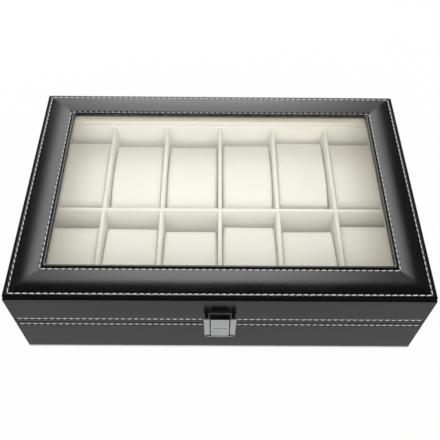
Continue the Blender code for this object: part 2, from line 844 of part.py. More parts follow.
for label, centre in hinge_centres.items():
    pin = rod_shape(HINGE_PIN_RADIUS, shifted(leaf_reach, centre), PIN_SIDES)
    add_piece(f"hinge_pin_{label}", pin, (0, hinge_y, hinge_z), "nickel")

for label, side, back_board in (("base", -1, base_boards["back"]), ("lid", 1, lid_boards["back"])):
    places = screw_places(side, hinge_centres.values())
    holes = turned_group(screw_hole_profile, places, FASTENER_SIDES)
    combine(back_board, add_cutter(f"{label}_screw_holes", holes))


# Latch: a bracket with two wings on the lid, a flap on a pin and a catch on the base
front = -case_half[1]
latch_top = BASE_HEIGHT + LATCH_RISE
wing_low = BASE_HEIGHT - LATCH_WING_DROP
plate_low = latch_top - LATCH_PLATE_DROP
plate_front = front - GAP - LATCH_METAL
flap_half = FLAP_WIDTH / 2
wing_inner = flap_half + FLAP_GROOVE
lip_top_edge = wing_low - GAP


def bulged_face(stand, levels):
    """Points down the curved face of the latch, from its top to its bottom."""
    middle = (latch_top + wing_low) / 2
    half = (latch_top - wing_low) / 2
    points = []
    for step in range(LATCH_ARC_STEPS + 1):
        height = levels[1] + (levels[0] - levels[1]) * step / LATCH_ARC_STEPS
        share = (height - middle) / half
        points.append((front - stand - LATCH_BULGE * (1 - share * share), height))
    return points


def taper(shape):
    """Narrow the wings towards their lower end, from the outside in."""
    for vert in shape.verts:
        share = (latch_top - vert.co.z) / (latch_top - wing_low)
        side = math.copysign(1, vert.co.x)
        beyond = abs(vert.co.x) - wing_inner
        vert.co.x = side * (wing_inner + beyond * (1 - latch_taper_share * share))


def latch_outline(stand, levels, back):
    """The side view of the latch: its bulged face and a straight back."""
    return bulged_face(stand, levels) + [(back, levels[0]), (back, levels[1])]


latch_axis = joint_empty("latch_axis", (0, latch_y, latch_z), lid_axis)
shape = plate_shape(latch_outline(LATCH_STAND, (wing_low, latch_top), front - GAP), LATCH_WIDTH / 2)
taper(shape)
bracket = add_piece("latch_bracket", shape, (0, 0, 0), "chrome", lid_axis)
flap_slot = block_cutter(
    "flap_slot",
    both_ways(wing_inner),
    (front - LATCH_STAND - LATCH_BULGE - OVERRUN, plate_front),
    (wing_low - OVERRUN, latch_top + OVERRUN),
)
combine(bracket, flap_slot)
below_plate = block_cutter(
    "below_plate",
    both_ways(wing_inner),
    (plate_front - OVERRUN, front + OVERRUN),
    (wing_low - OVERRUN, plate_low),
)
combine(bracket, below_plate)
hollow_levels = (wing_low - OVERRUN, latch_top + OVERRUN)
for label, side in (("left", -1), ("right", 1)):
    outline = latch_outline(LATCH_STAND - LATCH_METAL, hollow_levels, front + OVERRUN)
    cell_half = (LATCH_WIDTH / 2 - wing_inner) / 2 - LATCH_METAL
    shape = plate_shape(outline, cell_half)
    bmesh.ops.translate(shape, vec=(side * (wing_inner + LATCH_METAL + cell_half), 0, 0), verts=shape.verts)
    taper(shape)
    combine(bracket, add_cutter(f"wing_hollow_{label}", shape))
pin_place = (0, latch_y, latch_z)
pin_half = wing_inner + LATCH_METAL + LATCH_PIN_END
bore_shape = rod_shape(LATCH_PIN_RADIUS + RUNNING_GAP, both_ways(pin_half + GAP), PIN_SIDES)
latch_pin_bore = add_cutter("latch_pin_bore", bore_shape, pin_place)
combine(bracket, latch_pin_bore)
pin_shape = rod_shape(LATCH_PIN_RADIUS, both_ways(pin_half), PIN_SIDES)
add_piece("latch_pin", pin_shape, pin_place, "nickel", lid_axis)

# Flap: a channel with round ears on the pin, a finger lip and a bead that snaps on the catch
flap_top = latch_z + FLAP_EAR_RADIUS
flap_back = latch_y + FLAP_EAR_RADIUS
flap_outline = bulged_face(LATCH_STAND, (lip_top_edge - LATCH_METAL / 2, flap_top))
flap_outline.append((flap_back, lip_top_edge - LATCH_METAL / 2))
for step in range(CORNER_STEPS + 1):
    angle = math.pi / 2 * step / CORNER_STEPS
    ear = (latch_y + FLAP_EAR_RADIUS * math.cos(angle), latch_z + FLAP_EAR_RADIUS * math.sin(angle))
    flap_outline.append(ear)
shape = plate_shape(flap_outline, flap_half)
bmesh.ops.translate(shape, vec=(0, -latch_y, -latch_z), verts=shape.verts)
flap = add_piece("latch_flap", shape, (0, latch_y, latch_z), "chrome", latch_axis)
hollow = latch_outline(LATCH_STAND - LATCH_METAL, (lip_top_edge, latch_top + OVERRUN), front + OVERRUN)
combine(flap, add_cutter("flap_hollow", plate_shape(hollow, flap_half - LATCH_METAL)))

lip_front = front - LATCH_STAND - FINGER_LIP_FLARE
lip_half = FINGER_LIP_WIDTH / 2
lip_shape = bmesh.new()
rim = [(-lip_half, lip_top_edge), (lip_half, lip_top_edge)]
for step in range(FINGER_LIP_STEPS + 1):
    share = 1 - 2 * step / FINGER_LIP_STEPS
    rim.append((share * lip_half, lip_top_edge - FINGER_LIP_END - FINGER_LIP_SAG * (1 - share * share)))
corners = [lip_shape.verts.new((x, lip_front, z)) for x, z in rim]
face = lip_shape.faces.new(corners)
grown = bmesh.ops.extrude_face_region(lip_shape, geom=[face])
moved = [item for item in grown["geom"] if isinstance(item, bmesh.types.BMVert)]
bmesh.ops.translate(lip_shape, vec=(0, front - FINGER_LIP_BACK - lip_front, 0), verts=moved)
bmesh.ops.recalc_face_normals(lip_shape, faces=lip_shape.faces)
combine(flap, add_cutter("finger_lip", lip_shape), "UNION")

bead_high = BASE_HEIGHT - SNAP_BEAD_DROP + SNAP_BEAD
bead = block_cutter(
    "snap_bead",
    both_ways(SNAP_WIDTH / 2),
    (front - LATCH_STAND, front - GAP - CATCH_METAL - CATCH_NOSE - GAP),
    (bead_high - SNAP_BEAD, bead_high),
)
combine(flap, bead, "UNION")
combine(flap, latch_pin_bore)
line_low = BASE_HEIGHT + FLAP_LINE_HEIGHT
line_face = front - LATCH_STAND - LATCH_BULGE
flap_line = block_cutter(
    "flap_line",
    both_ways(flap_half - FLAP_LINE_MARGIN),
    (line_face - OVERRUN, line_face + FLAP_LINE_DEPTH),
    (line_low, line_low + FLAP_LINE_WIDTH),
)
combine(flap, flap_line)

# Catch: a hooked plate on the base, behind the flap
catch_back = front - GAP
catch_front = catch_back - CATCH_METAL
catch_low = BASE_HEIGHT - CATCH_LOW_DROP
nose_low = BASE_HEIGHT - CATCH_NOSE_LOW_DROP
nose_face_low = nose_low + CATCH_NOSE_SLOPE
nose_face_high = nose_face_low + CATCH_NOSE_FACE
catch_outline = [
    (catch_back, catch_low),
    (catch_front, catch_low),
    (catch_front, nose_low),
    (catch_front - CATCH_NOSE, nose_face_low),
    (catch_front - CATCH_NOSE, nose_face_high),
    (catch_front, nose_face_high + CATCH_NOSE_BACK_SLOPE),
    (catch_front, BASE_HEIGHT - CATCH_HIGH_DROP),
    (catch_back, BASE_HEIGHT - CATCH_HIGH_DROP),
]
catch = add_piece("latch_catch", plate_shape(catch_outline, CATCH_WIDTH / 2), (0, 0, 0), "chrome")


def rivet(plate, plate_face, board_end, spacing, height, holes_in):
    """Two domed rivets, closed up with their plate, through the leathercloth and the board."""
    length = board_end - plate_face
    profile = [
        (0, RIVET_HEAD_HEIGHT),
        (RIVET_HEAD_RADIUS * rivet_dome_share, RIVET_HEAD_HEIGHT * rivet_dome_share),
        (RIVET_HEAD_RADIUS, 0),
        (RIVET_HEAD_RADIUS, -LATCH_METAL / 2),
        (RIVET_SHANK_RADIUS, -LATCH_METAL / 2),
        (RIVET_SHANK_RADIUS, -length),
        (0, -length),
    ]
    hole = [
        (0, 0),
        (RIVET_SHANK_RADIUS + GAP, 0),
        (RIVET_SHANK_RADIUS + GAP, -length - OVERRUN),
        (0, -length - OVERRUN),
    ]
    turn = Matrix.Rotation(math.pi / 2, 4, "X")
    places = [Matrix.Translation((x, plate_face, height)) @ turn for x in (-spacing / 2, spacing / 2)]
    rivets = add_cutter(f"{plate.name}_rivets", turned_group(profile, places, FASTENER_SIDES))
    combine(plate, rivets, "UNION")
    holes = add_cutter(f"{plate.name}_rivet_holes", turned_group(hole, places, FASTENER_SIDES))
    for piece in holes_in:
        combine(piece, holes)


rivet(
    bracket,
    plate_front,
    -lid_board_inner[1] - GAP,
    BRACKET_RIVET_SPACING,
    BASE_HEIGHT + BRACKET_RIVET_RISE,
    (lid_skin, lid_boards["front"]),
)
rivet(
    catch,
    catch_front,
    -board_inner[1] - GAP,
    CATCH_RIVET_SPACING,
    BASE_HEIGHT - CATCH_RIVET_DROP,
    (base_skin, base_boards["front"]),
)
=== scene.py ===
"""The looks of a watch display case: leathercloth, stitches, velvet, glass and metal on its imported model.

Units are metres, +Z is up and the front of the case faces -Y.
"""

import math

import bmesh
import bpy
from mathutils import Matrix, Vector, noise


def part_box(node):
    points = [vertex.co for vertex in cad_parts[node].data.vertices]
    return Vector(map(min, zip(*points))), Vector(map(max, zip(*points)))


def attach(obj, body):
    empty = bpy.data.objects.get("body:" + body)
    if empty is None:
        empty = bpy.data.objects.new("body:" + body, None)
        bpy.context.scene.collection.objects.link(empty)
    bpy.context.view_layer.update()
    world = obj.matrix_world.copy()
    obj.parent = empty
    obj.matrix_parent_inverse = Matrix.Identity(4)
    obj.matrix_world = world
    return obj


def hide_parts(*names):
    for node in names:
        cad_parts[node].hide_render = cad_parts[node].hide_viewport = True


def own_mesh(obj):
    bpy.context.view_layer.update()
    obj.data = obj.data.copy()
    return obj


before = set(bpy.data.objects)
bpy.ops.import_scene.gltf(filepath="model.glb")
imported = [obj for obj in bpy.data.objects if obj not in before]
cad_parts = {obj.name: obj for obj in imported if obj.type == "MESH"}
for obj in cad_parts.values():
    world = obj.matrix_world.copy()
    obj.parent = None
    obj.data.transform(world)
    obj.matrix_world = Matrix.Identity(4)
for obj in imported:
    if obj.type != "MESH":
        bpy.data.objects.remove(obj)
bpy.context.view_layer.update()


# Boards
# The walls, the bottom and the window frame are cut from raw fibreboard and glued up. The covering hides
# them, and is turned in over the lowest part of the lid's walls.
BOARD_LIGHT = (0.42, 0.29, 0.17, 1)
BOARD_DARK = (0.24, 0.15, 0.08, 1)
BOARD_FLECKS_PER_METRE = 900
BOARD_FLECK_DEPTH = 0.00015
BOARD_ROUGHNESS = 0.85
TURNED_CLOTH = (0.0035, 0.0035, 0.0036, 1)
SIDES = ("front", "back", "left", "right")


def fill_in(tree, node, inputs):
    """Give a node its inputs: one given as a socket is linked, and any other is set."""
    for name, value in inputs.items():
        socket = node.inputs[name]
        if isinstance(value, bpy.types.NodeSocket):
            tree.links.new(value, socket)
        else:
            socket.default_value = value


def add_node(tree, kind, inputs=None, **settings):
    """Add a node to a tree, with its settings and its inputs."""
    made = tree.nodes.new(kind)
    for name, value in settings.items():
        setattr(made, name, value)
    fill_in(tree, made, inputs or {})
    return made


def sums(tree, operation, *values):
    """The result of a math node."""
    return add_node(tree, "ShaderNodeMath", dict(enumerate(values)), operation=operation).outputs[0]


def new_material(name):
    """A material with its tree, its main shader and its object coordinates."""
    material = bpy.data.materials.new(name)
    material.use_nodes = True
    own_tree = material.node_tree
    coordinates = add_node(own_tree, "ShaderNodeTexCoord").outputs["Object"]
    return material, own_tree, own_tree.nodes["Principled BSDF"], coordinates


def spots(tree, coordinates, per_metre, detail=2.0, roughness=0.5):
    """Soft noise from 0 to 1, with about so many spots to the metre."""
    inputs = {"Vector": coordinates, "Scale": per_metre, "Detail": detail, "Roughness": roughness}
    return add_node(tree, "ShaderNodeTexNoise", inputs).outputs[0]


def two_colours(tree, factor, first, second, low=0.3, high=0.7):
    """A colour that goes from one to another as a factor goes from low to high."""
    ramp = add_node(tree, "ShaderNodeValToRGB", {0: factor})
    for element, position, colour in zip(ramp.color_ramp.elements, (low, high), (first, second)):
        element.position = position
        element.color = colour
    return ramp.outputs["Color"]


def between(tree, factor, low, high):
    """A number that goes from low to high as a factor goes from 0 to 1."""
    return add_node(tree, "ShaderNodeMapRange", {"Value": factor, "To Min": low, "To Max": high}).outputs[0]


def raised(tree, height, depth, under=None):
    """A bump of so many metres, on top of another where one is given."""
    inputs = {"Height": height, "Distance": depth, "Strength": 1.0}
    if under is not None:
        inputs["Normal"] = under
    return add_node(tree, "ShaderNodeBump", inputs).outputs[0]


def dress(node, material):
    """Give a piece of the frame its material."""
    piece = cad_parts[node]
    piece.data.materials.clear()
    piece.data.materials.append(material)
    return piece


def fibreboard_material(name, cloth_below):
    """Raw fibreboard, which the turned-in cloth covers below a height."""
    material, own_tree, own_shader, spot = new_material(name)
    flecks = spots(own_tree, spot, BOARD_FLECKS_PER_METRE, detail=5.0, roughness=0.7)
    bare = two_colours(own_tree, flecks, BOARD_DARK, BOARD_LIGHT)
    height = add_node(own_tree, "ShaderNodeSeparateXYZ", {0: spot}).outputs["Z"]
    covered = sums(own_tree, "LESS_THAN", height, cloth_below)
    colours = {0: covered, 6: bare, 7: TURNED_CLOTH}
    looks = {"Base Color": add_node(own_tree, "ShaderNodeMix", colours, data_type="RGBA").outputs[2]}
    looks["Normal"] = raised(own_tree, flecks, BOARD_FLECK_DEPTH)
    fill_in(own_tree, own_shader, {**looks, "Roughness": BOARD_ROUGHNESS})
    return material


fibreboard = fibreboard_material("fibreboard", 0.0)
bound_fibreboard = fibreboard_material("bound_fibreboard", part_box("lid_front_liner")[0].z)
for node in ["base_bottom_board", "lid_panel_board"] + [f"base_{side}_board" for side in SIDES]:
    dress(node, fibreboard)
for side in SIDES:
    dress(f"lid_{side}_board", bound_fibreboard)


# Felt
# A thin sheet of black felt is glued under the case and carries it, so that it doesn't scratch the table.
FELT_LIGHT = (0.030, 0.030, 0.032, 1)
FELT_DARK = (0.008, 0.008, 0.009, 1)
FELT_FIBRES_PER_METRE = 2600
FELT_FIBRE_DEPTH = 0.0002
FELT_SHEEN = 0.4

felt, tree, shader, place = new_material("black_felt")
fibres = spots(tree, place, FELT_FIBRES_PER_METRE, detail=6.0, roughness=0.8)
looks = {"Base Color": two_colours(tree, fibres, FELT_DARK, FELT_LIGHT)}
looks["Normal"] = raised(tree, fibres, FELT_FIBRE_DEPTH)
fill_in(tree, shader, {**looks, "Roughness": 1, "Sheen Weight": FELT_SHEEN})
dress("base_felt_pad", felt)


# Leathercloth on the walls
# Glossy black cloth-backed sheet with a fine pebble grain is pulled tight round the walls of the base and of
# the lid and turned in over their edges. It is drawn in a little along its row of stitches.
LEATHER = 0.0009
LEATHER_DARK = (0.0022, 0.0022, 0.0023, 1)
LEATHER_LIGHT = (0.0048, 0.0048, 0.0050, 1)
LEATHER_GLOSS_ROUGHNESS = 0.135
LEATHER_DULL_ROUGHNESS = 0.23
LEATHER_SPECULAR = 0.90
GRAIN_PER_METRE = 1300
GRAIN_DEPTH = 0.000042
CREASE_PER_METRE = 420
CREASE_DEPTH = 0.00005
SLACK_PER_METRE = 38
SLACK_DEPTH = 0.00007
WALL_CORNER_RADIUS = 0.0005
SIDE_FULLNESS = 0.0006
WALL_ROW_SHORT = 0.0021
RIM_RADIUS = 0.0007
FOOT_RADIUS = 0.0003
FOOT_DROP = 0.0005
FOOT_WIDTH = 0.0030
SMALLEST_CORNER = 0.0002
STITCH_PITCH = 0.0047
STATIONS_PER_STITCH = 8
CORNER_STATIONS = 6
DRAWN_IN = 0.00022
DRAWN_IN_WIDTH = 0.0011
HOLE_PULL = 0.00028
hole_narrowing = 3
row_height_shares = (0, 0.3, 0.6, 1.0, 1.5, 2.2)
row_clear_share = 2.6
WALL_HEIGHT_STEPS = 14
RIM_STEPS = 4
LID_ROW_ABOVE_SPLIT = 0.0053
BASE_ROW_BELOW_SPLIT = 0.0032
SPLIT_CLEAR = 0.0004
leaf_sink_share = 0.8
BASE_TURN_IN = 0.010

leathercloth, tree, shader, place = new_material("black_leathercloth")
pebbles = {"Vector": place, "Scale": GRAIN_PER_METRE}
grain = add_node(tree, "ShaderNodeTexVoronoi", pebbles).outputs["Distance"]
creases = spots(tree, place, CREASE_PER_METRE, detail=4.0, roughness=0.6)
looks = {"Base Color": two_colours(tree, creases, LEATHER_DARK, LEATHER_LIGHT)}
looks["Roughness"] = between(tree, creases, LEATHER_GLOSS_ROUGHNESS, LEATHER_DULL_ROUGHNESS)
looks["Normal"] = raised(tree, grain, GRAIN_DEPTH, raised(tree, creases, CREASE_DEPTH))
fill_in(tree, shader, {**looks, "Specular IOR Level": LEATHER_SPECULAR})

wall_low, wall_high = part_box("base_leather_wrap")
lid_low, lid_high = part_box("lid_leather_wrap")
case_line = (wall_high.x + SIDE_FULLNESS, wall_high.y, 0)
split_height = (wall_high.z + lid_low.z) / 2
lid_row_height = split_height + LID_ROW_ABOVE_SPLIT
base_row_height = split_height - BASE_ROW_BELOW_SPLIT


def inset(line, amount):
    """A line that lies inside another: its half width, its half depth and how far back its middle lies."""
    return (line[0] - amount, line[1] - amount, line[2])


def stations(length, radius, per_stitch):
    """How many even steps a straight side of a swept sheet takes."""
    return round((2 * length - 2 * radius) / STITCH_PITCH * per_stitch)


def ring(line, radius, steps):
    """Points round a rectangle with rounded corners, from the front left corner to the right and round."""
    points = []
    turns = ((-1, -1, math.pi), (1, -1, -math.pi / 2), (1, 1, 0), (-1, 1, math.pi / 2))
    centres = [Vector((x * (line[0] - radius), y * (line[1] - radius) + line[2])) for x, y, start in turns]
    for corner, (x, y, start) in enumerate(turns):
        for step in range(CORNER_STATIONS + 1):
            angle = start + math.pi / 2 * step / CORNER_STATIONS
            points.append(centres[corner] + radius * Vector((math.cos(angle), math.sin(angle))))
        after = centres[(corner + 1) % 4] + radius * Vector((math.cos(angle), math.sin(angle)))
        count = steps[corner % 2]
        points += [points[-1].lerp(after, step / count) for step in range(1, count)]
    return points


def swept(name, section, steps, move=None):
    """A closed band: section lists (line, corner radius, height) once round the cloth's thickness."""
    shape = bmesh.new()
    rings = []
    for line, radius, height in section:
        rings.append([shape.verts.new((*point, height)) for point in ring(line, radius, steps)])
    count = len(rings[0])
    for first, second in zip(rings, rings[1:] + rings[:1]):
        for at in range(count):
            after = (at + 1) % count
            shape.faces.new((first[at], first[after], second[after], second[at]))
    if move is not None:
        for vert in shape.verts:
            vert.co += move(vert.co)
    bmesh.ops.recalc_face_normals(shape, faces=shape.faces)
    return as_piece(name, shape)


def placed(name, data):
    """A new object that stands in the scene."""
    made = bpy.data.objects.new(name, data)
    bpy.context.scene.collection.objects.link(made)
    return made


def as_piece(name, shape, smooth_angle=math.radians(40)):
    """Turn a bmesh into a smooth-shaded object that stands at the origin."""
    mesh = bpy.data.meshes.new(name)
    shape.to_mesh(mesh)
    shape.free()
    mesh.shade_smooth()
    mesh.set_sharp_from_angle(angle=smooth_angle)
    return placed(name, mesh)


def hole_wave(along, half_length):
    """1 at a needle hole, falling fast to 0 along a stitch, for a row of that half length."""
    count = round(2 * half_length / STITCH_PITCH)
    wave = 0.5 + 0.5 * math.cos(math.tau * count * (along + half_length) / (2 * half_length))
    return wave ** hole_narrowing


def bell(distance, width):
    """1 at nothing, falling smoothly to 0 past a width."""
    return math.exp(-(distance / width) ** 2)


def arc_heights(low, high, row):
    """Heights up the face of a wall, close together near its row of stitches."""
    near = {row + DRAWN_IN_WIDTH * share * side for share in row_height_shares for side in (-1, 1)}
    evenly = [low + (high - low) * step / WALL_HEIGHT_STEPS for step in range(WALL_HEIGHT_STEPS + 1)]
    clear = {height for height in evenly if abs(height - row) > DRAWN_IN_WIDTH * row_clear_share}
    return sorted(clear | near)


def wall_section(low, high, turn_low, turn_high, row, foot, drop):
    """The cloth's section: under its lower turn, up its face and in over its upper turn, then back inside."""
    fold = low - drop
    face = arc_heights(fold + foot, high - RIM_RADIUS, row)
    outside = [(turn_low, low), (FOOT_WIDTH, low)]
    rim = [math.pi / 2 * step / RIM_STEPS for step in range(RIM_STEPS + 1)]
    outside += [(foot * (1 - math.sin(a)), fold + foot * (1 - math.cos(a))) for a in rim[:-1]]
    outside += [(0, height) for height in face]
    outside += [(RIM_RADIUS * (1 - math.cos(a)), high - RIM_RADIUS * (1 - math.sin(a))) for a in rim[1:]]
    outside += [(turn_high, high)]
    inside = [(turn_high, high - LEATHER), (LEATHER, high - LEATHER), (LEATHER, low + LEATHER)]
    inside += [(turn_low, low + LEATHER)]
    section = []
    for depth, height in outside + inside:
        radius = max(WALL_CORNER_RADIUS - depth, SMALLEST_CORNER)
        section.append((inset(case_line, depth), radius, height))
    return section


hinge_boxes = [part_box(f"hinge_leaf_base_{side}") for side in ("left", "right")]
leaf_depth = wall_high.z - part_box("base_back_board")[1].z


def outward_of(point):
    """Which way a wall faces at a point on or in it."""
    if case_line[0] - abs(point.x) < case_line[1] - abs(point.y):
        return Vector((math.copysign(1, point.x), 0, 0))
    return Vector((0, math.copysign(1, point.y), 0))


def wall_move(row, edge, side):
    """How the cloth of one wall moves: slack, drawn in at its stitches and let down under the leaves."""
    def move(point):
        outward = outward_of(point)
        axis = 0 if outward.x else 1
        on_face = bell(case_line[axis] - abs(point[axis]), LEATHER / 3)
        along, half_length = point[1 - axis], case_line[1 - axis] - WALL_ROW_SHORT
        pull = DRAWN_IN + HOLE_PULL * hole_wave(along, half_length)
        depth = pull * bell(point.z - row, DRAWN_IN_WIDTH)
        depth += SLACK_DEPTH * (0.5 + 0.5 * noise.noise(point * SLACK_PER_METRE))
        moved = outward * -depth * on_face
        over_leaf = any(low.x - SPLIT_CLEAR < point.x < high.x + SPLIT_CLEAR for low, high in hinge_boxes)
        to_edge = (point.z - (edge - side * leaf_depth)) * side
        if over_leaf and outward.y > 0 and to_edge > 0:
            moved.z -= side * to_edge * leaf_sink_share
        return moved
    return move


wall_steps = [stations(half, WALL_CORNER_RADIUS, STATIONS_PER_STITCH) for half in case_line[:2]]
base_turn = wall_high.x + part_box("base_left_board")[1].x
lid_turn = wall_high.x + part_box("lid_left_board")[1].x
base_section = wall_section(
    wall_low.z, wall_high.z, BASE_TURN_IN, base_turn, base_row_height, FOOT_RADIUS, FOOT_DROP
)
base_cloth = swept("base_leathercloth", base_section, wall_steps, wall_move(base_row_height, wall_high.z, 1))
lid_section = wall_section(lid_low.z, lid_high.z, lid_turn, lid_turn, lid_row_height, RIM_RADIUS, 0)
lid_cloth = swept("lid_leathercloth", lid_section, wall_steps, wall_move(lid_row_height, lid_low.z, -1))
for cloth, node, body in ((base_cloth, "base_leather_wrap", "base"), (lid_cloth, "lid_leather_wrap", "lid")):
    cloth.data.materials.append(leathercloth)
    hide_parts(node)
    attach(cloth, body)


# Velvet lining
# Card covered in cream velvet lines the floor and the walls of the base and stands up as a lip inside the
# lid. Notched cards of the same part it into twelve places.
VELVET_LIGHT = (0.89, 0.862, 0.760, 1)
VELVET_DARK = (0.84, 0.812, 0.705, 1)
LID_VELVET_LIGHT = (0.92, 0.865, 0.79, 1)
LID_VELVET_DARK = (0.87, 0.81, 0.73, 1)
# Painted shade: a darker copy of the velvet for the strips under the glass, which lie in the panel's shade.
SHADED_VELVET_LIGHT = (0.66, 0.62, 0.49, 1)
SHADED_VELVET_DARK = (0.55, 0.51, 0.40, 1)
NAP_PER_METRE = 3200
NAP_DEPTH = 0.00010
nap_share = 0.45
BRUSHED_PER_METRE = 55
VELVET_ROUGHNESS = 0.9
VELVET_SPECULAR = 0.15
VELVET_SHEEN = 0.25
VELVET_SHEEN_ROUGHNESS = 0.45
CARD_EDGE_RADIUS = 0.0005
WELD = 0.00002


def velvet_material(name, dark, light):
    """Velvet: short nap with patches brushed one way or the other."""
    material, own_tree, own_shader, spot = new_material(name)
    brushed = spots(own_tree, spot, BRUSHED_PER_METRE, detail=3.0)
    nap = spots(own_tree, spot, NAP_PER_METRE, detail=3.0, roughness=0.7)
    brushed_part = sums(own_tree, "MULTIPLY", brushed, 1 - nap_share)
    mixed_nap = sums(own_tree, "MULTIPLY_ADD", nap, nap_share, brushed_part)
    looks = {"Base Color": two_colours(own_tree, mixed_nap, dark, light)}
    looks["Normal"] = raised(own_tree, nap, NAP_DEPTH)
    looks.update({"Roughness": VELVET_ROUGHNESS, "Specular IOR Level": VELVET_SPECULAR})
    looks.update({"Sheen Weight": VELVET_SHEEN, "Sheen Roughness": VELVET_SHEEN_ROUGHNESS})
    fill_in(own_tree, own_shader, looks)
    return material


def soften(piece, radius, steps=2):
    """Merge a node's loose triangles and round its edges."""
    weld = piece.modifiers.new("merged", "WELD")
    weld.merge_threshold = WELD
    bevel = piece.modifiers.new("rounded", "BEVEL")
    bevel.width = radius
    bevel.segments = steps
    bevel.limit_method = "ANGLE"
    bevel.angle_limit = math.radians(40)


velvet = velvet_material("cream_velvet", VELVET_DARK, VELVET_LIGHT)
lid_velvet = velvet_material("lid_velvet", LID_VELVET_DARK, LID_VELVET_LIGHT)
shaded_velvet = velvet_material("shaded_velvet", SHADED_VELVET_DARK, SHADED_VELVET_LIGHT)
base_cards = ["base_floor_liner", "long_divider"] + [f"cross_divider_{number}" for number in range(1, 6)]
base_cards += [f"base_{side}_liner" for side in SIDES]
for node in base_cards:
    soften(dress(node, velvet), CARD_EDGE_RADIUS)
for side in SIDES:
    soften(dress(f"lid_{side}_liner", lid_velvet), CARD_EDGE_RADIUS)
    # The strips under the glass take the darker velvet, which is painted shade.
    soften(dress(f"glass_retainer_{side}", shaded_velvet), CARD_EDGE_RADIUS)


# Pillows
# Each place holds a loose pillow for a watch strap to go round: velvet sewn into a bag along the middle of
# its sides, stuffed with foam. It is blown up by a cloth simulation, ten times as large as it is.
PILLOW_SIZE = Vector((0.0441, 0.0745, 0.0340))
SIMULATED_SCALE = 10
START_SHARE = 0.95
BAG_VOXEL = 0.014
seam_band_share = 0.7
BAG_ROUNDING = 0.018
bag_end_drop_share = 0.30
BAG_END_POWER = 2.2
BAG_PRESSURE = 4.0
BAG_FRAMES = 20
MOST_SWELL = 0.006
SEAM_DEPTH = 0.0007
SEAM_WIDTH = 0.0011
PILLOW_TURNS = (0.4, -0.3, 0.2, -0.4, 0.4, -0.3, -0.2, 0.3, -0.4, 0.2, -0.3, 0.4)
PILLOW_SHIFT = 0.0002
PILLOW_STEP = 0.0009
PILLOW_FORWARD = 0.0022
FRONT_PILLOW_FORWARD = 0.0008
CELL_FLOOR_CLEAR = 0.0001


def plain_bag():
    """The bag before it is stuffed: a block with rounded edges, in an even mesh."""
    shape = bmesh.new()
    bmesh.ops.create_cube(shape, size=1)
    bmesh.ops.scale(shape, vec=PILLOW_SIZE * SIMULATED_SCALE * START_SHARE, verts=shape.verts)
    bmesh.ops.bevel(
        shape, geom=shape.edges[:], offset=BAG_ROUNDING, segments=4, profile=0.5, affect="EDGES"
    )
    bag = as_piece("pillow_bag", shape)
    remesh = bag.modifiers.new("even", "REMESH")
    remesh.mode = "VOXEL"
    remesh.voxel_size = BAG_VOXEL
    return bag


def applied(piece):
    """The mesh of a piece as its modifiers leave it."""
    seen = piece.evaluated_get(bpy.context.evaluated_depsgraph_get())
    return bpy.data.meshes.new_from_object(seen)


def stuffed_bag():
    """The bag after stuffing, at its real size round the origin."""
    bag = plain_bag()
    mesh = applied(bag)
    bag.modifiers.clear()
    bag.data = mesh
    half_length = PILLOW_SIZE.y * SIMULATED_SCALE * START_SHARE / 2
    for vert in mesh.vertices:
        if vert.co.z > 0:
            vert.co.z *= 1 - bag_end_drop_share * abs(vert.co.y / half_length) ** BAG_END_POWER
    start = [vert.co.copy() for vert in mesh.vertices]
    seam_band = BAG_VOXEL * seam_band_share
    seam = bag.vertex_groups.new(name="seam")
    seam.add([vert.index for vert in mesh.vertices if abs(vert.co.z) < seam_band], 1.0, "REPLACE")
    cloth = bag.modifiers.new("stuffing", "CLOTH")
    cloth.settings.use_pressure = True
    cloth.settings.uniform_pressure_force = BAG_PRESSURE
    cloth.settings.effector_weights.gravity = 0
    cloth.settings.vertex_group_mass = "seam"
    for number in range(1, BAG_FRAMES + 1):
        bpy.context.scene.frame_set(number)
    swollen = applied(bag)
    for vert, first in zip(swollen.vertices, start):
        change = vert.co - first
        if change.length > MOST_SWELL:
            vert.co = first + change * (MOST_SWELL / change.length)
    bag.modifiers.clear()
    bag.data = swollen
    bpy.context.scene.frame_set(1)
    finer = bag.modifiers.new("finer", "SUBSURF")
    finer.levels = 1
    finer.render_levels = 1
    mesh = applied(bag)
    bpy.data.objects.remove(bag)
    for axis in range(3):
        reaches = [vert.co[axis] for vert in mesh.vertices]
        fit = PILLOW_SIZE[axis] / (max(reaches) - min(reaches))
        for vert in mesh.vertices:
            vert.co[axis] *= fit
    return mesh


def seam_pull(point):
    """How far the seam round the middle of a pillow draws a point in."""
    inward = Vector((point.x / PILLOW_SIZE.x, point.y / PILLOW_SIZE.y, 0)).normalized()
    return inward * -SEAM_DEPTH * bell(point.z, SEAM_WIDTH)


stuffed = stuffed_bag()
for vert in stuffed.vertices:
    vert.co += seam_pull(vert.co)
for number, turn_share in enumerate(PILLOW_TURNS, 1):
    low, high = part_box(f"pillow_{number}")
    middle = Vector(((low.x + high.x) / 2 + PILLOW_SHIFT * turn_share, (low.y + high.y) / 2, 0))
    middle.y += PILLOW_STEP * PILLOW_TURNS[number % len(PILLOW_TURNS)]
    middle.y -= FRONT_PILLOW_FORWARD if middle.y < 0 else PILLOW_FORWARD
    middle.z = low.z + CELL_FLOOR_CLEAR + PILLOW_SIZE.z / 2
    mesh = stuffed.copy()
    mesh.name = f"velvet_pillow_{number}"
    mirror = Matrix.Diagonal((1 if number % 2 else -1, 1 if number % 3 else -1, 1, 1))
    mesh.transform(Matrix.Translation(middle) @ Matrix.Rotation(math.radians(turn_share), 4, "Z") @ mirror)
    if mirror.determinant() < 0:
        mesh.flip_normals()
    mesh.shade_smooth()
    mesh.materials.clear()
    mesh.materials.append(velvet)
    pillow = placed(mesh.name, mesh)
    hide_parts(f"pillow_{number}")
    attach(pillow, f"pillow_{number}_body")
    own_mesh(pillow)


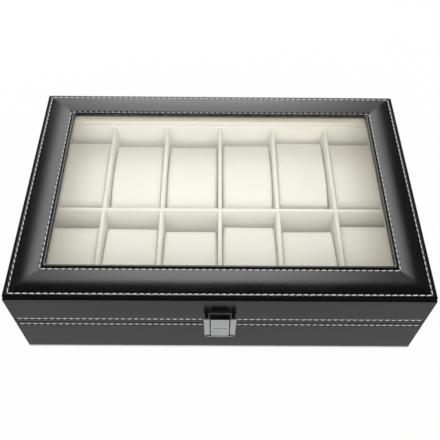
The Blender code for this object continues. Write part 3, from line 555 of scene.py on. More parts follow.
# Padded panel
# A soft foam strip lies on the stepped board round the window, and leathercloth is pulled over both, sewn
# down in two lines and turned in at the outer edge and at the window.
PANEL_EDGE = 0.0027
PANEL_EDGE_DROP = 0.0013
PANEL_EDGE_LIFT = 0.0007
panel_edge_flat_share = 0.28
PANEL_EDGE_POWER = 1.9
PANEL_EDGE_STEPS = 8
PANEL_CORNER_RADIUS = 0.0015
PANEL_OVERHANG_AT_SIDES = 0.0014
PANEL_OVERHANG_AT_ENDS = 0.0006
PANEL_BEHIND = 0.0004
WINDOW_CORNER_RADIUS = 0.0014
PANEL_UNDER_RADIUS = 0.0006
PANEL_CROWN = 0.0011
CROWN_LEAN = 1.15
OUTER_ROW_INSET_AT_SIDES = 0.0037
OUTER_ROW_INSET_AT_ENDS = 0.00315
INNER_ROW_INSET_AT_SIDES = 0.0035
INNER_ROW_INSET_AT_ENDS = 0.00285
INNER_ROW_FORWARD = 0.0009
WINDOW_SETBACK = 0.0011
WINDOW_BEHIND = 0.0006
GLUE_LINE = 0.0003
WINDOW_BEAD = 0.0006
WINDOW_BEAD_OUT = 0.0015
WINDOW_ROLL = 0.0009
WINDOW_ROLL_STEPS = 5
BEAD_RISE_STEPS = 4
CROWN_RINGS = 18
PANEL_ROUNDING_STEPS = 4
PANEL_STATIONS_PER_STITCH = 10
PANEL_GROOVE = 0.00007
PANEL_GROOVE_WIDTH = 0.0007
PANEL_PULL = 0.00036
PANEL_PULL_WIDTH = 0.0008
FULLNESS_PER_METRE = 26
FULLNESS = 0.00016
FOAM_LIGHT = (0.80, 0.78, 0.70, 1)
FOAM_DARK = (0.60, 0.58, 0.50, 1)
FOAM_CELLS_PER_METRE = 1500
foam_wall_share = 0.1
foam_middle_share = 0.6
move_full_share = 1.5

foam, tree, shader, place = new_material("soft_foam")
cells = add_node(tree, "ShaderNodeTexVoronoi", {"Vector": place, "Scale": FOAM_CELLS_PER_METRE}).outputs[0]
looks = {"Normal": raised(tree, cells, BOARD_FLECK_DEPTH), "Roughness": 1}
looks["Base Color"] = two_colours(tree, cells, FOAM_DARK, FOAM_LIGHT, foam_wall_share, foam_middle_share)
fill_in(tree, shader, looks)
dress("lid_panel_foam", foam)

cover_low, cover_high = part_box("lid_panel_leather")
side_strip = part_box("glass_retainer_right")[0].x
back_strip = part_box("glass_retainer_back")[0].y
front_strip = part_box("glass_retainer_front")[1].y
panel_half = (cover_high.x + PANEL_OVERHANG_AT_SIDES, cover_high.y + PANEL_OVERHANG_AT_ENDS)
panel_line = (*panel_half, PANEL_BEHIND)
strip_middle = (back_strip + front_strip) / 2
window_depth = back_strip - front_strip - 2 * WINDOW_BEHIND
window_line = (side_strip - WINDOW_SETBACK, window_depth / 2, strip_middle + WINDOW_BEHIND)
panel_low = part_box("lid_leather_wrap")[1].z + GLUE_LINE
edge_top = panel_low + PANEL_EDGE
bead_top = edge_top + WINDOW_BEAD
outer_row = (panel_line[0] - OUTER_ROW_INSET_AT_SIDES, panel_line[1] - OUTER_ROW_INSET_AT_ENDS, 0)
inner_row = (
    window_line[0] + INNER_ROW_INSET_AT_SIDES,
    window_line[1] + INNER_ROW_INSET_AT_ENDS,
    window_line[2] - INNER_ROW_FORWARD,
)


def line_between(first, second, share):
    """A line part of the way between two others."""
    return tuple(a + (b - a) * share for a, b in zip(first, second))


def corner_of(line):
    """Corner radius of a line on the panel, blended from its outer edge to the window."""
    share = (panel_line[0] - line[0]) / (panel_line[0] - window_line[0])
    return PANEL_CORNER_RADIUS + (WINDOW_CORNER_RADIUS - PANEL_CORNER_RADIUS) * share


def crown_rise(share):
    """Height of the crown part of the way in from the outer row of stitches to the inner one."""
    return PANEL_CROWN * math.sin(math.pi * share ** CROWN_LEAN)


def reach(line, axis, side):
    """How far a line lies from the middle of the case, along X or Y, to one side."""
    return line[axis] + side * line[2] * axis


def panel_section():
    """The cover's section: up the outer edge, over the crown and the bead, down the window and back under."""
    turns = [math.pi / 2 * step / PANEL_ROUNDING_STEPS for step in range(PANEL_ROUNDING_STEPS + 1)]
    outside = []
    for turn in turns:
        rise = panel_low + PANEL_EDGE_LIFT + PANEL_UNDER_RADIUS * (1 - math.cos(turn))
        outside.append((inset(panel_line, PANEL_UNDER_RADIUS * (1 - math.sin(turn))), rise))
    outside.append((panel_line, (outside[-1][1] + edge_top - PANEL_EDGE_DROP) / 2))
    for step in range(PANEL_EDGE_STEPS + 1):
        share = 1 - step / PANEL_EDGE_STEPS
        out_share = panel_edge_flat_share + (1 - panel_edge_flat_share) * share
        line = line_between(outer_row, panel_line, out_share)
        outside.append((line, edge_top - PANEL_EDGE_DROP * share ** PANEL_EDGE_POWER))
    for step in range(CROWN_RINGS + 1):
        share = 0.5 - 0.5 * math.cos(math.pi * step / CROWN_RINGS)
        outside.append((line_between(outer_row, inner_row, share), edge_top + crown_rise(share)))
    crest_line = inset(window_line, -WINDOW_BEAD_OUT)
    for step in range(1, BEAD_RISE_STEPS):
        share = step / BEAD_RISE_STEPS
        rise = edge_top + WINDOW_BEAD * (0.5 - 0.5 * math.cos(math.pi * share))
        outside.append((line_between(inner_row, crest_line, share), rise))
    for step in range(WINDOW_ROLL_STEPS + 1):
        turn = math.pi / 2 * step / WINDOW_ROLL_STEPS
        rise = bead_top - WINDOW_ROLL * (1 - math.cos(turn))
        outside.append((inset(window_line, -WINDOW_BEAD_OUT * (1 - math.sin(turn))), rise))
    outside.append((window_line, cover_low.z))
    behind_window = inset(window_line, -LEATHER)
    inside = [(behind_window, cover_low.z), (behind_window, bead_top - WINDOW_ROLL)]
    inside.append((inset(window_line, -WINDOW_BEAD_OUT), bead_top - LEATHER))
    for share in (1, 0.75, 0.5, 0.25, 0):
        inside.append((line_between(outer_row, inner_row, share), edge_top - LEATHER + crown_rise(share)))
    inside += [(inset(panel_line, LEATHER), edge_top - LEATHER), (inset(panel_line, LEATHER), panel_low)]
    return [(line, corner_of(line), height) for line, height in outside + inside]


def panel_move(point):
    """How the cover sinks along its stitches, is pulled in at each needle hole and lies fuller or slacker."""
    shares = []
    for axis in (0, 1):
        side = math.copysign(1, point[axis])
        outer, inner = reach(outer_row, axis, side), reach(inner_row, axis, side)
        shares.append((outer - abs(point[axis])) / (outer - inner))
    axis = 0 if shares[0] < shares[1] else 1
    side = math.copysign(1, point[axis])
    sink = 0
    for row in (outer_row, inner_row):
        distance = abs(point[axis]) - reach(row, axis, side)
        along = point[1 - axis] - row[2] * (1 - axis)
        wave = hole_wave(along, row[1 - axis]) if abs(along) < row[1 - axis] else 1
        sink += PANEL_GROOVE * bell(distance, PANEL_GROOVE_WIDTH)
        sink += PANEL_PULL * wave * bell(distance, PANEL_PULL_WIDTH)
    share = min(max(shares[axis], 0), 1)
    fuller = FULLNESS * noise.noise(point * FULLNESS_PER_METRE) * math.sin(math.pi * share)
    lifted = max(point.z - panel_low, 0) / (PANEL_EDGE + PANEL_CROWN)
    return Vector((0, 0, (fuller - sink) * min(lifted * move_full_share, 1)))


panel_steps = [stations(half, PANEL_CORNER_RADIUS, PANEL_STATIONS_PER_STITCH) for half in panel_line[:2]]
panel_cover = swept("panel_leathercloth", panel_section(), panel_steps, panel_move)
panel_cover.data.materials.append(leathercloth)
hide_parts("lid_panel_leather")
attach(panel_cover, "lid")


# Stitches
# Off-white two-ply thread, sewn through the cloth before it is glued: two lines on the padded panel, one
# round the lid's wall and one round the base's wall. Each stitch dives into its needle holes at both ends.
STITCH_LENGTH = 0.0040
THREAD_RADIUS = 0.00051
THREAD_SINK = 0.00030
THREAD_RISE = 0.00008
BOW_POWER = 4.0
thread_flatness_share = 0.62
THREAD_TWIST = 5.0
STITCH_SLANT = 0.055
STITCH_SLANT_SPREAD = 0.035
THREAD_LIGHT = (0.74, 0.73, 0.705, 1)
THREAD_DARK = (0.54, 0.53, 0.505, 1)
THREAD_ROUGHNESS = 0.7
FIBRES_PER_METRE = 5200
FIBRE_DEPTH = 0.00005
STRAND_POINTS = 9
STRAND_SIDES = 8
STRAND_OVAL = (1.0, 0.8, 1.0)
strand_tip_share = 0.02
STRAND_TAPER_POWER = 0.4
STITCH_SEED = 7

thread, tree, shader, place = new_material("off_white_thread")
fibres = spots(tree, place, FIBRES_PER_METRE, detail=3.0)
looks = {"Base Color": two_colours(tree, fibres, THREAD_DARK, THREAD_LIGHT)}
looks["Normal"] = raised(tree, fibres, FIBRE_DEPTH)
fill_in(tree, shader, {**looks, "Roughness": THREAD_ROUGHNESS})


def new_tree(name, values):
    """An empty Geometry Nodes tree that takes a guide and these values by name, with its inputs."""
    tree = bpy.data.node_groups.new(name, "GeometryNodeTree")
    kinds = {"Geometry": "Geometry"}
    for label, value in values.items():
        kinds[label] = "Material" if isinstance(value, bpy.types.Material) else "Float"
    for label, kind in kinds.items():
        tree.interface.new_socket(label, in_out="INPUT", socket_type=f"NodeSocket{kind}")
    tree.interface.new_socket("Geometry", in_out="OUTPUT", socket_type="NodeSocketGeometry")
    return tree, tree.nodes.new("NodeGroupInput").outputs


def vector_of(tree, **parts):
    """A vector put together from numbers, each fixed or worked out."""
    return add_node(tree, "ShaderNodeCombineXYZ", parts).outputs[0]


def stored(tree, name):
    """A vector that is stored on the guide under a name."""
    named = {"Name": name}
    return add_node(tree, "GeometryNodeInputNamedAttribute", named, data_type="FLOAT_VECTOR").outputs[0]


def turned_at_random(tree, facing, low, high, seed):
    """A rotation, turned about its own Z by an angle between two others."""
    chance = add_node(tree, "FunctionNodeRandomValue", {2: low, 3: high, "Seed": seed}).outputs[1]
    turn = add_node(tree, "FunctionNodeEulerToRotation", {"Euler": vector_of(tree, Z=chance)}).outputs[0]
    both = {"Rotation": facing, "Rotate By": turn}
    return add_node(tree, "FunctionNodeRotateRotation", both, rotation_space="LOCAL").outputs[0]


def set_down(tree, places, shape, rotation, material):
    """End a tree: a copy of a shape at each place, made real and given its material."""
    copies = {"Points": places, "Instance": shape, "Rotation": rotation}
    laid = add_node(tree, "GeometryNodeInstanceOnPoints", copies)
    real = add_node(tree, "GeometryNodeRealizeInstances", {"Geometry": laid.outputs[0]})
    done = add_node(tree, "GeometryNodeSetMaterial", {"Geometry": real.outputs[0], "Material": material})
    add_node(tree, "NodeGroupOutput", {0: done.outputs[0]})
    return tree


def stitch_tree(values):
    """Geometry Nodes that sew stitches of a set pitch along straight guide lines, each in the same way."""
    tree, given = new_tree("sewn_rows", values)
    line = add_node(tree, "GeometryNodeMeshToCurve", {"Mesh": given["Geometry"]})
    length = add_node(tree, "GeometryNodeSplineLength").outputs["Length"]
    count = sums(tree, "ADD", sums(tree, "ROUND", sums(tree, "DIVIDE", length, given["Pitch"])), 1.0)
    holes = add_node(tree, "GeometryNodeResampleCurve", {"Curve": line.outputs[0], "Count": count})
    gaps = add_node(tree, "GeometryNodeCurveToMesh", {"Curve": holes.outputs[0]})
    ends = add_node(tree, "GeometryNodeInputMeshEdgeVertices").outputs
    both_ends = {0: ends["Position 2"], 1: ends["Position 1"]}
    run = add_node(tree, "ShaderNodeVectorMath", both_ends, operation="SUBTRACT")
    kept = {"Geometry": gaps.outputs[0], "Name": "run", "Value": run.outputs[0]}
    marked = add_node(tree, "GeometryNodeStoreNamedAttribute", kept, domain="EDGE", data_type="FLOAT_VECTOR")
    places = add_node(tree, "GeometryNodeMeshToPoints", {"Mesh": marked.outputs[0]}, mode="EDGES")

    half = sums(tree, "MULTIPLY", given["Stitch Length"], 0.5)
    tips = {"Start": vector_of(tree, X=sums(tree, "MULTIPLY", half, -1.0)), "End": vector_of(tree, X=half)}
    straight = add_node(tree, "GeometryNodeCurvePrimitiveLine", tips)
    even = add_node(tree, "GeometryNodeResampleCurve", {"Curve": straight.outputs[0], "Count": STRAND_POINTS})
    along = add_node(tree, "GeometryNodeSplineParameter").outputs["Factor"]
    off_centre = sums(tree, "ABSOLUTE", sums(tree, "MULTIPLY_ADD", along, 2.0, -1.0))
    dive = sums(tree, "POWER", off_centre, given["Bow"])
    fall = sums(tree, "MULTIPLY", dive, sums(tree, "ADD", given["Rise"], given["Sink"]))
    lift = vector_of(tree, Z=sums(tree, "SUBTRACT", given["Rise"], fall))
    bow = add_node(tree, "GeometryNodeSetPosition", {"Geometry": even.outputs[0], "Offset": lift})
    turned = sums(tree, "MULTIPLY", along, given["Twist"])
    twisted = add_node(tree, "GeometryNodeSetCurveTilt", {"Curve": bow.outputs[0], "Tilt": turned})
    arch = sums(tree, "SINE", sums(tree, "MULTIPLY", along, math.pi))
    thickness = sums(tree, "POWER", sums(tree, "MAXIMUM", arch, strand_tip_share), STRAND_TAPER_POWER)
    disc = {"Resolution": STRAND_SIDES, "Radius": given["Thread Radius"]}
    circle = add_node(tree, "GeometryNodeCurvePrimitiveCircle", disc)
    oval = add_node(tree, "GeometryNodeTransform", {"Geometry": circle.outputs[0], "Scale": STRAND_OVAL})
    strand_inputs = {"Curve": twisted.outputs[0], "Profile Curve": oval.outputs[0], "Scale": thickness}
    strand = add_node(tree, "GeometryNodeCurveToMesh", {**strand_inputs, "Fill Caps": True})
    flat_scale = vector_of(tree, X=1.0, Y=1.0, Z=given["Flatness"])
    pressed = add_node(tree, "GeometryNodeTransform", {"Geometry": strand.outputs[0], "Scale": flat_scale})
    smooth = add_node(tree, "GeometryNodeSetShadeSmooth", {"Geometry": pressed.outputs[0]})

    axes = {0: stored(tree, "outward"), 1: stored(tree, "run")}
    facing = add_node(tree, "FunctionNodeAxesToRotation", axes, primary_axis="Z", secondary_axis="X")
    low = sums(tree, "SUBTRACT", given["Slant"], given["Spread"])
    high = sums(tree, "ADD", given["Slant"], given["Spread"])
    aim = turned_at_random(tree, facing.outputs[0], low, high, STITCH_SEED)
    return set_down(tree, places.outputs[0], smooth.outputs[0], aim, given["Thread"])


def run_nodes(name, guide, tree, values):
    """Run a tree on a guide mesh with its inputs set by name, and keep the result as a plain mesh."""
    carrier = placed(name, guide)
    modifier = carrier.modifiers.new("nodes", "NODES")
    modifier.node_group = tree
    for socket in tree.interface.items_tree:
        if socket.in_out == "INPUT" and socket.name in values:
            modifier[socket.identifier] = values[socket.name]
    mesh = applied(carrier)
    carrier.modifiers.clear()
    bpy.data.objects.remove(carrier)
    mesh.name = name
    return placed(name, mesh)


def guide_mesh(name, points, edges, facings):
    """A mesh of guide points or lines that holds which way the surface faces at each point."""
    mesh = bpy.data.meshes.new(name)
    mesh.from_pydata(points, edges, [])
    outward = mesh.attributes.new("outward", "FLOAT_VECTOR", "POINT")
    for entry, facing in zip(outward.data, facings):
        entry.vector = facing
    return mesh


def guide_lines(name, lines):
    """A mesh of straight lines, each (from, to, which way the cloth faces)."""
    points = [point for first, last, facing in lines for point in (first, last)]
    facings = [facing for first, last, facing in lines for end in (first, last)]
    return guide_mesh(name, points, [(2 * at, 2 * at + 1) for at in range(len(lines))], facings)


def row_round(line, height, short=0.0, upward=False):
    """Four guide lines round a rectangle, each cut short at both ends, on a top or on the walls."""
    x, front, back = line[0], line[2] - line[1], line[2] + line[1]
    corners = [Vector((*corner, height)) for corner in ((-x, front), (x, front), (x, back), (-x, back))]
    facings = [Vector((0, -1, 0)), Vector((1, 0, 0)), Vector((0, 1, 0)), Vector((-1, 0, 0))]
    lines = []
    for at, facing in enumerate(facings):
        first, last = corners[at], corners[(at + 1) % 4]
        run = (last - first).normalized() * short
        lines.append((first + run, last - run, Vector((0, 0, 1)) if upward else facing))
    return lines


stitch_values = {
    "Pitch": STITCH_PITCH,
    "Stitch Length": STITCH_LENGTH,
    "Thread Radius": THREAD_RADIUS,
    "Sink": THREAD_SINK,
    "Rise": THREAD_RISE,
    "Bow": BOW_POWER,
    "Flatness": thread_flatness_share,
    "Twist": THREAD_TWIST,
    "Slant": STITCH_SLANT,
    "Spread": STITCH_SLANT_SPREAD,
    "Thread": thread,
}
sewing = stitch_tree(stitch_values)
panel_row_height = edge_top - PANEL_GROOVE
wall_row_half = inset(case_line, DRAWN_IN)
panel_lines = row_round(outer_row, panel_row_height, upward=True)
panel_lines += row_round(inner_row, panel_row_height, upward=True)
sewn_rows = {
    "panel_stitches": (panel_lines, "lid"),
    "lid_wall_stitches": (row_round(wall_row_half, lid_row_height, WALL_ROW_SHORT), "lid"),
    "base_wall_stitches": (row_round(wall_row_half, base_row_height, WALL_ROW_SHORT), "base"),
}
for name, (lines, body) in sewn_rows.items():
    row = run_nodes(name, guide_lines(name, lines), sewing, stitch_values)
    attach(row, body)


# Glass
# A clear pane lies against the underside of the panel, held up by four velvet-covered strips. Light passes
# straight through it to the velvet, and only the eye sees it bend and shine.
GLASS_TINT = (0.985, 0.990, 0.985, 1)
GLASS_IOR = 1.5
GLASS_EDGE_RADIUS = 0.0002

glass, tree, shader = new_material("clear_glass")[:3]
fill_in(tree, shader, {"Base Color": GLASS_TINT, "Roughness": 0, "IOR": GLASS_IOR, "Transmission Weight": 1})
clear = add_node(tree, "ShaderNodeBsdfTransparent", {"Color": GLASS_TINT})
path = add_node(tree, "ShaderNodeLightPath").outputs
passing = sums(tree, "MAXIMUM", path["Is Shadow Ray"], path["Is Diffuse Ray"])
mixed = add_node(tree, "ShaderNodeMixShader", {0: passing, 1: shader.outputs[0], 2: clear.outputs[0]})
fill_in(tree, tree.nodes["Material Output"], {"Surface": mixed.outputs[0]})
soften(dress("glass_pane", glass), GLASS_EDGE_RADIUS, 1)


# Hinges
# Two stop hinges of nickel-plated steel: a leaf in the base and one in the lid, turned round a pin. Each
# leaf is held by two countersunk screws with a cross slot, whose heads show once the lid stands open.
NICKEL = (0.52, 0.51, 0.48, 1)
NICKEL_DARK = (0.40, 0.39, 0.37, 1)
NICKEL_ROUGHNESS = 0.26
NICKEL_LINE_DEPTH = 0.000004
NICKEL_STRETCH = (0.15, 4, 4)
POLISH_PER_METRE = 900
TARNISH_PER_METRE = 160
polished_share = 0.8
worn_share = 1.3
METAL_EDGE = 0.00008
METAL_EDGE_STEPS = 2
SCREW_HEAD_RADIUS = 0.0014
SCREW_RIM_RADIUS = 0.0012
SCREW_SINK = 0.0003
screw_rise_share = 0.4
screw_slot_depth_share = 0.85
SCREW_SLOT_LENGTH = 0.0016
SCREW_SLOT_WIDTH = 0.00036
SCREW_SPREAD = 0.0095
SCREW_SIDES = 24
SCREW_SEED = 3


def metal_material(name, dark, light, roughness, line_depth, stretch, metallic=1.0):
    """Plated metal with fine lines of polish and a little tarnish."""
    material, own_tree, own_shader, spot = new_material(name)
    lines = add_node(own_tree, "ShaderNodeMapping", {"Vector": spot, "Scale": stretch}).outputs[0]
    polish = spots(own_tree, lines, POLISH_PER_METRE, detail=3.0)
    tarnish = spots(own_tree, spot, TARNISH_PER_METRE, detail=3.0)
    looks = {"Base Color": two_colours(own_tree, tarnish, dark, light)}
    looks["Roughness"] = between(own_tree, polish, roughness * polished_share, roughness * worn_share)
    looks["Normal"] = raised(own_tree, polish, line_depth)
    fill_in(own_tree, own_shader, {**looks, "Metallic": metallic})
    return material


def smooth_copy(node, materials, body, finish_of=None):
    """A merged copy of a metal piece with its edges broken, its curves smooth and a finish for each face."""
    shape = bmesh.new()
    shape.from_mesh(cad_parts[node].data)
    bmesh.ops.remove_doubles(shape, verts=shape.verts, dist=WELD)
    bmesh.ops.dissolve_limit(
        shape, angle_limit=math.radians(1), verts=shape.verts, edges=shape.edges, delimit={"NORMAL"}
    )
    sharp = [edge for edge in shape.edges if edge.calc_face_angle(0) > math.radians(40)]
    bevel = {"segments": METAL_EDGE_STEPS, "profile": 0.5, "affect": "EDGES", "clamp_overlap": True}
    bmesh.ops.bevel(shape, geom=sharp, offset=METAL_EDGE, **bevel)
    if finish_of is not None:
        for metal_face in shape.faces:
            metal_face.material_index = finish_of(metal_face)
    piece = as_piece(f"{node}_plated", shape, math.radians(35))
    for material in materials:
        piece.data.materials.append(material)
    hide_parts(node)
    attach(piece, body)
    return piece


nickel_look = (NICKEL_DARK, NICKEL, NICKEL_ROUGHNESS, NICKEL_LINE_DEPTH, NICKEL_STRETCH)
nickel = metal_material("nickel_plate", *nickel_look)
for side in ("left", "right"):
    smooth_copy(f"hinge_leaf_base_{side}", [nickel], "base")
    smooth_copy(f"hinge_leaf_lid_{side}", [nickel], "lid")
    smooth_copy(f"hinge_pin_{side}", [nickel], "base")


def screw_tree(values):
    """Geometry Nodes that seat a head with a cross slot at each point of a guide."""
    tree, given = new_tree("screw_heads", values)
    cone = {"Vertices": SCREW_SIDES, "Radius Top": given["Rim Radius"], "Radius Bottom": given["Radius"]}
    cone["Depth"] = sums(tree, "ADD", given["Rise"], given["Sink"])
    head = add_node(tree, "GeometryNodeMeshCone", cone)
    down = vector_of(tree, Z=sums(tree, "MULTIPLY", given["Sink"], -1.0))
    seated = add_node(tree, "GeometryNodeTransform", {"Geometry": head.outputs[0], "Translation": down})
    cut = add_node(tree, "GeometryNodeMeshBoolean", {"Mesh 1": seated.outputs[0]}, operation="DIFFERENCE")
    deep = sums(tree, "MULTIPLY", given["Slot Depth"], 2.0)
    top = vector_of(tree, Z=given["Rise"])
    for length, width in (("Slot Length", "Slot Width"), ("Slot Width", "Slot Length")):
        size = vector_of(tree, X=given[length], Y=given[width], Z=deep)
        arm = add_node(tree, "GeometryNodeMeshCube", {"Size": size})
        high_arm = add_node(tree, "GeometryNodeTransform", {"Geometry": arm.outputs[0], "Translation": top})
        fill_in(tree, cut, {"Mesh 2": high_arm.outputs[0]})
    outward = {"Vector": stored(tree, "outward")}
    facing = add_node(tree, "FunctionNodeAlignRotationToVector", outward, axis="Z")
    aim = turned_at_random(tree, facing.outputs[0], 0.0, math.pi / 2, SCREW_SEED)
    places = add_node(tree, "GeometryNodeMeshToPoints", {"Mesh": given["Geometry"]})
    return set_down(tree, places.outputs[0], cut.outputs[0], aim, given["Metal"])


def screw_guide(name, height, facing):
    """A mesh of the points where the screws of one body's hinge leaves sit."""
    depth = (hinge_boxes[0][0].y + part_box("base_back_board")[1].y) / 2
    middles = [(low.x + high.x) / 2 for low, high in hinge_boxes]
    points = [(middle + side * SCREW_SPREAD, depth, height) for middle in middles for side in (-1, 1)]
    return guide_mesh(name, points, [], [(0, 0, facing)] * len(points))


split_gap = lid_low.z - wall_high.z
screw_values = {
    "Radius": SCREW_HEAD_RADIUS,
    "Rim Radius": SCREW_RIM_RADIUS,
    "Rise": split_gap * screw_rise_share,
    "Sink": SCREW_SINK,
    "Slot Length": SCREW_SLOT_LENGTH,
    "Slot Width": SCREW_SLOT_WIDTH,
    "Slot Depth": split_gap * screw_rise_share * screw_slot_depth_share,
    "Metal": nickel,
}
screwing = screw_tree(screw_values)
for body, height, facing in (("base", wall_high.z, 1), ("lid", lid_low.z, -1)):
    guide = screw_guide(f"{body}_hinge_screws", height, facing)
    screws = run_nodes(f"{body}_hinge_screws", guide, screwing, screw_values)
    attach(screws, body)


# Latch
# A bracket with two hollow wings is riveted to the lid, and a flap hangs between them on a pin and snaps
# over a catch on the base. All of it is stamped steel with satin chrome. Near-black metal inside it, beside
# the flap and in its pressed line is painted shade, and a matt grey on its top rims is a painted highlight.
CHROME = (0.95, 0.96, 0.96, 1)
CHROME_DARK = (0.84, 0.85, 0.85, 1)
# Near-black metal beside the flap and in its pressed line is painted shade.
SHADED_GROOVE_METAL = (0.05, 0.05, 0.05, 1)
SHADED_GROOVE_METAL_DARK = (0.02, 0.02, 0.02, 1)
# Matt grey on the top rims is a painted highlight.
RIM_HIGHLIGHT_GREY = (0.24, 0.24, 0.23, 1)
RIM_HIGHLIGHT_GREY_DARK = (0.16, 0.16, 0.155, 1)
# Near-black metal inside the latch is painted shade.
SHADED_INSIDE_METAL = (0.046, 0.046, 0.044, 1)
SHADED_INSIDE_METAL_DARK = (0.026, 0.026, 0.025, 1)
# Metallic and roughness of the painted shade and painted highlight faces.
PAINTED_LIGHT_METALLIC = 0.4
CHROME_ROUGHNESS = 0.22
PAINTED_LIGHT_ROUGHNESS = 0.5
LATCH_LINE_DEPTH = 0.000003
LATCH_STRETCH = (0.2, 3, 3)
LATCH_SHELL = 0.0030
GROOVE_REACH = 0.0076
PRESSED_LINE_REACH = 0.0050
PRESSED_LINE_LOW = 0.0453
PRESSED_LINE_HIGH = 0.0460

finishes = {
    "satin_chrome": (CHROME_DARK, CHROME, CHROME_ROUGHNESS, 1.0),
    "painted_shade_groove_metal": (SHADED_GROOVE_METAL_DARK, SHADED_GROOVE_METAL, PAINTED_LIGHT_ROUGHNESS, 1.0),
    "painted_shade_inside_metal": (SHADED_INSIDE_METAL_DARK, SHADED_INSIDE_METAL, PAINTED_LIGHT_ROUGHNESS, PAINTED_LIGHT_METALLIC),
    "painted_highlight_rim": (RIM_HIGHLIGHT_GREY_DARK, RIM_HIGHLIGHT_GREY, PAINTED_LIGHT_ROUGHNESS, PAINTED_LIGHT_METALLIC),
}
latch_finishes = [
    metal_material(name, dark, light, roughness, LATCH_LINE_DEPTH, LATCH_STRETCH, metallic)
    for name, (dark, light, roughness, metallic) in finishes.items()
]
flap_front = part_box("latch_flap")[0].y
bracket_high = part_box("latch_bracket")[1]


def latch_finish(face):
    """0 for plated faces, 1 for painted shade beside the flap and in its pressed line, 2 for painted shade
    inside, 3 for a painted highlight on the top rims.
    """
    middle = face.calc_center_median()
    in_line = all(PRESSED_LINE_LOW < corner.co.z < PRESSED_LINE_HIGH for corner in face.verts)
    if in_line and abs(middle.x) < PRESSED_LINE_REACH:
        return 1
    if abs(face.normal.x) > abs(face.normal.y) + abs(face.normal.z) and abs(middle.x) < GROOVE_REACH:
        return 1
    if face.normal.z > abs(face.normal.y) and middle.z > bracket_high.z - METAL_EDGE:
        return 3
    return 2 if middle.y > flap_front + LATCH_SHELL else 0


smooth_copy("latch_bracket", latch_finishes, "lid", latch_finish)
smooth_copy("latch_flap", latch_finishes, "latch_flap", latch_finish)
smooth_copy("latch_catch", latch_finishes[:1], "base")
smooth_copy("latch_pin", [nickel], "lid")


# Camera
# It stands where the photograph was taken from: in front of the case, a little to the left, looking down
# into the window.
PHOTO_SIDE_PX = 440
FOCAL_PX = 593.5
CAMERA_PLACE = (-0.0039, -0.2909, 0.4427)
CAMERA_PITCH = math.radians(54.70)
CAMERA_YAW = math.radians(0.80)
CAMERA_ROLL = math.radians(1.02)
CAMERA_NEAR = 0.01

camera_data = bpy.data.cameras.new("camera")
camera_data.lens = FOCAL_PX * camera_data.sensor_width / PHOTO_SIDE_PX
camera_data.clip_start = CAMERA_NEAR
camera = placed("camera", camera_data)
level_part = math.cos(CAMERA_PITCH)
ahead = Vector((
    math.sin(CAMERA_YAW) * level_part, math.cos(CAMERA_YAW) * level_part, -math.sin(CAMERA_PITCH)
))
to_right = ahead.cross(Vector((0, 0, 1))).normalized()
to_top = to_right.cross(ahead)
right_side = to_right * math.cos(CAMERA_ROLL) + to_top * math.sin(CAMERA_ROLL)
upper_side = to_top * math.cos(CAMERA_ROLL) - to_right * math.sin(CAMERA_ROLL)
turned = Matrix((right_side, upper_side, -ahead)).transposed().to_4x4()
camera.matrix_world = Matrix.Translation(CAMERA_PLACE) @ turned
bpy.context.scene.camera = camera
bpy.context.scene.view_settings.view_transform = "Standard"


# Floor and light
# The case stands on a white sheet. A soft box hangs behind it, from over the case nearly down to the floor,
# and fades out to either side into a wide, dim card. A second box behind it adds to its shine alone, and a
# wide light over the camera lights the front without a shine.
SOFT_BOX_TOP = Vector((-0.035, 0.20, 0.75))
SOFT_BOX_FOOT = Vector((-0.035, 0.95, 0.15))
SOFT_BOX_WIDTH = 0.98
soft_box_even_share = 0.15
SOFT_BOX_RADIANCE = 1.5
SOFT_BOX_GLOSS_RADIANCE = 0.9
CARD_WIDTH = 2.5
GLOSS_BOX_BEHIND = 0.012
CARD_BEHIND = 0.03
CARD_RADIANCE = 0.06
FRONT_LIGHT_PLACE = Vector((0, -1.45, 1.15))
FRONT_LIGHT_SIDE = 1.4
FRONT_LIGHT_RADIANCE = 3.75
FILL = 0.42
GLOSSY_FILL = 0.015
FLOOR_SIDE = 8.0
FLOOR_CELLS = 4
FLOOR_SHEET = (0.84, 0.84, 0.835, 1)
shown_white_share = 0.965
CONTACT_SHADOW_REACH = 0.0013
CONTACT_SHADOW_POWER = 3.5
mirrored_white_share = 0.415


def soft_light(name, centre, towards, width, depth, radiance):
    """A flat rectangular light that faces a point."""
    lamp_data = bpy.data.lights.new(name, "AREA")
    lamp_data.shape = "RECTANGLE"
    lamp_data.size = width
    lamp_data.size_y = depth
    lamp_data.energy = radiance * math.pi * width * depth
    lamp = placed(name, lamp_data)
    lamp.location = centre
    lamp.rotation_euler = (towards - centre).to_track_quat("-Z", "Y").to_euler()
    return lamp


box_run = SOFT_BOX_FOOT - SOFT_BOX_TOP
box_facing = box_run.cross(Vector((1, 0, 0))).normalized()
box_centre = (SOFT_BOX_TOP + SOFT_BOX_FOOT) / 2


def faded_box(name, behind, radiance):
    """The soft box, which is even in the middle and fades out to both sides."""
    centre = box_centre - box_facing * behind
    box = soft_light(name, centre, centre + box_facing, SOFT_BOX_WIDTH, box_run.length, radiance)
    box.data.use_nodes = True
    tree = box.data.node_tree
    place = add_node(tree, "ShaderNodeNewGeometry").outputs["Parametric"]
    across = add_node(tree, "ShaderNodeSeparateXYZ", {0: place}).outputs[0]
    off_middle = sums(tree, "ABSOLUTE", sums(tree, "SUBTRACT", across, 0.5))
    edges = {"Value": off_middle, "From Min": 0.5, "From Max": soft_box_even_share / 2}
    fade = add_node(tree, "ShaderNodeMapRange", edges, interpolation_type="SMOOTHSTEP")
    fill_in(tree, tree.nodes["Emission"], {"Strength": fade.outputs[0]})
    return box


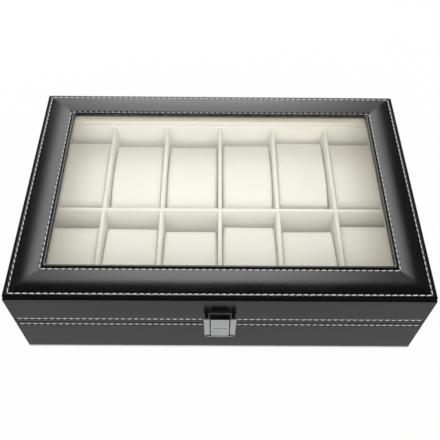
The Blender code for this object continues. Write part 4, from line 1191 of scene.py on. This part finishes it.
faded_box("soft_box", 0, SOFT_BOX_RADIANCE)
gloss_box = faded_box("soft_box_gloss", GLOSS_BOX_BEHIND, SOFT_BOX_GLOSS_RADIANCE)
gloss_box.visible_diffuse = False
card_centre = box_centre - box_facing * CARD_BEHIND
soft_light("pale_card", card_centre, card_centre + box_facing, CARD_WIDTH, box_run.length, CARD_RADIANCE)
front_size = (FRONT_LIGHT_SIDE, FRONT_LIGHT_SIDE)
front_light = soft_light("front_light", FRONT_LIGHT_PLACE, Vector(), *front_size, FRONT_LIGHT_RADIANCE)
front_light.visible_glossy = False

world = bpy.data.worlds.new("studio")
world.use_nodes = True
bpy.context.scene.world = world
tree = world.node_tree
path = add_node(tree, "ShaderNodeLightPath").outputs
seen = sums(tree, "MAXIMUM", path["Is Camera Ray"], path["Is Transmission Ray"])
glossy_part = sums(tree, "MULTIPLY", path["Is Glossy Ray"], GLOSSY_FILL - FILL)
white_part = sums(tree, "MULTIPLY", seen, 1 - FILL)
strength = sums(tree, "ADD", sums(tree, "ADD", glossy_part, white_part), FILL)
fill_in(tree, tree.nodes["Background"], {"Strength": strength, "Color": (1, 1, 1, 1)})

shape = bmesh.new()
bmesh.ops.create_grid(shape, x_segments=FLOOR_CELLS, y_segments=FLOOR_CELLS, size=FLOOR_SIDE / 2)
floor = as_piece("floor", shape)
floor_sheet = bpy.data.materials.new("white_sheet")
floor_sheet.use_nodes = True
tree = floor_sheet.node_tree
tree.nodes.clear()
matt = add_node(tree, "ShaderNodeBsdfDiffuse", {"Color": FLOOR_SHEET})
white = add_node(tree, "ShaderNodeEmission", {"Strength": 1.0})
path = add_node(tree, "ShaderNodeLightPath").outputs
seen = sums(tree, "MAXIMUM", path["Is Camera Ray"], path["Is Transmission Ray"])
open_sky = add_node(tree, "ShaderNodeAmbientOcclusion", {"Distance": CONTACT_SHADOW_REACH}).outputs["AO"]
contact = sums(tree, "POWER", open_sky, CONTACT_SHADOW_POWER)
shown = sums(tree, "MULTIPLY", sums(tree, "MULTIPLY", seen, shown_white_share), contact)
mirrored = sums(tree, "MULTIPLY", path["Is Glossy Ray"], mirrored_white_share)
black = add_node(tree, "ShaderNodeBsdfDiffuse", {"Color": (0, 0, 0, 1)})
dark_mix = {0: path["Is Glossy Ray"], 1: matt.outputs[0], 2: black.outputs[0]}
unlit = add_node(tree, "ShaderNodeMixShader", dark_mix)
white_mix = {0: sums(tree, "MAXIMUM", shown, mirrored), 1: unlit.outputs[0], 2: white.outputs[0]}
mixed = add_node(tree, "ShaderNodeMixShader", white_mix)
add_node(tree, "ShaderNodeOutputMaterial", {"Surface": mixed.outputs[0]})
floor.data.materials.append(floor_sheet)
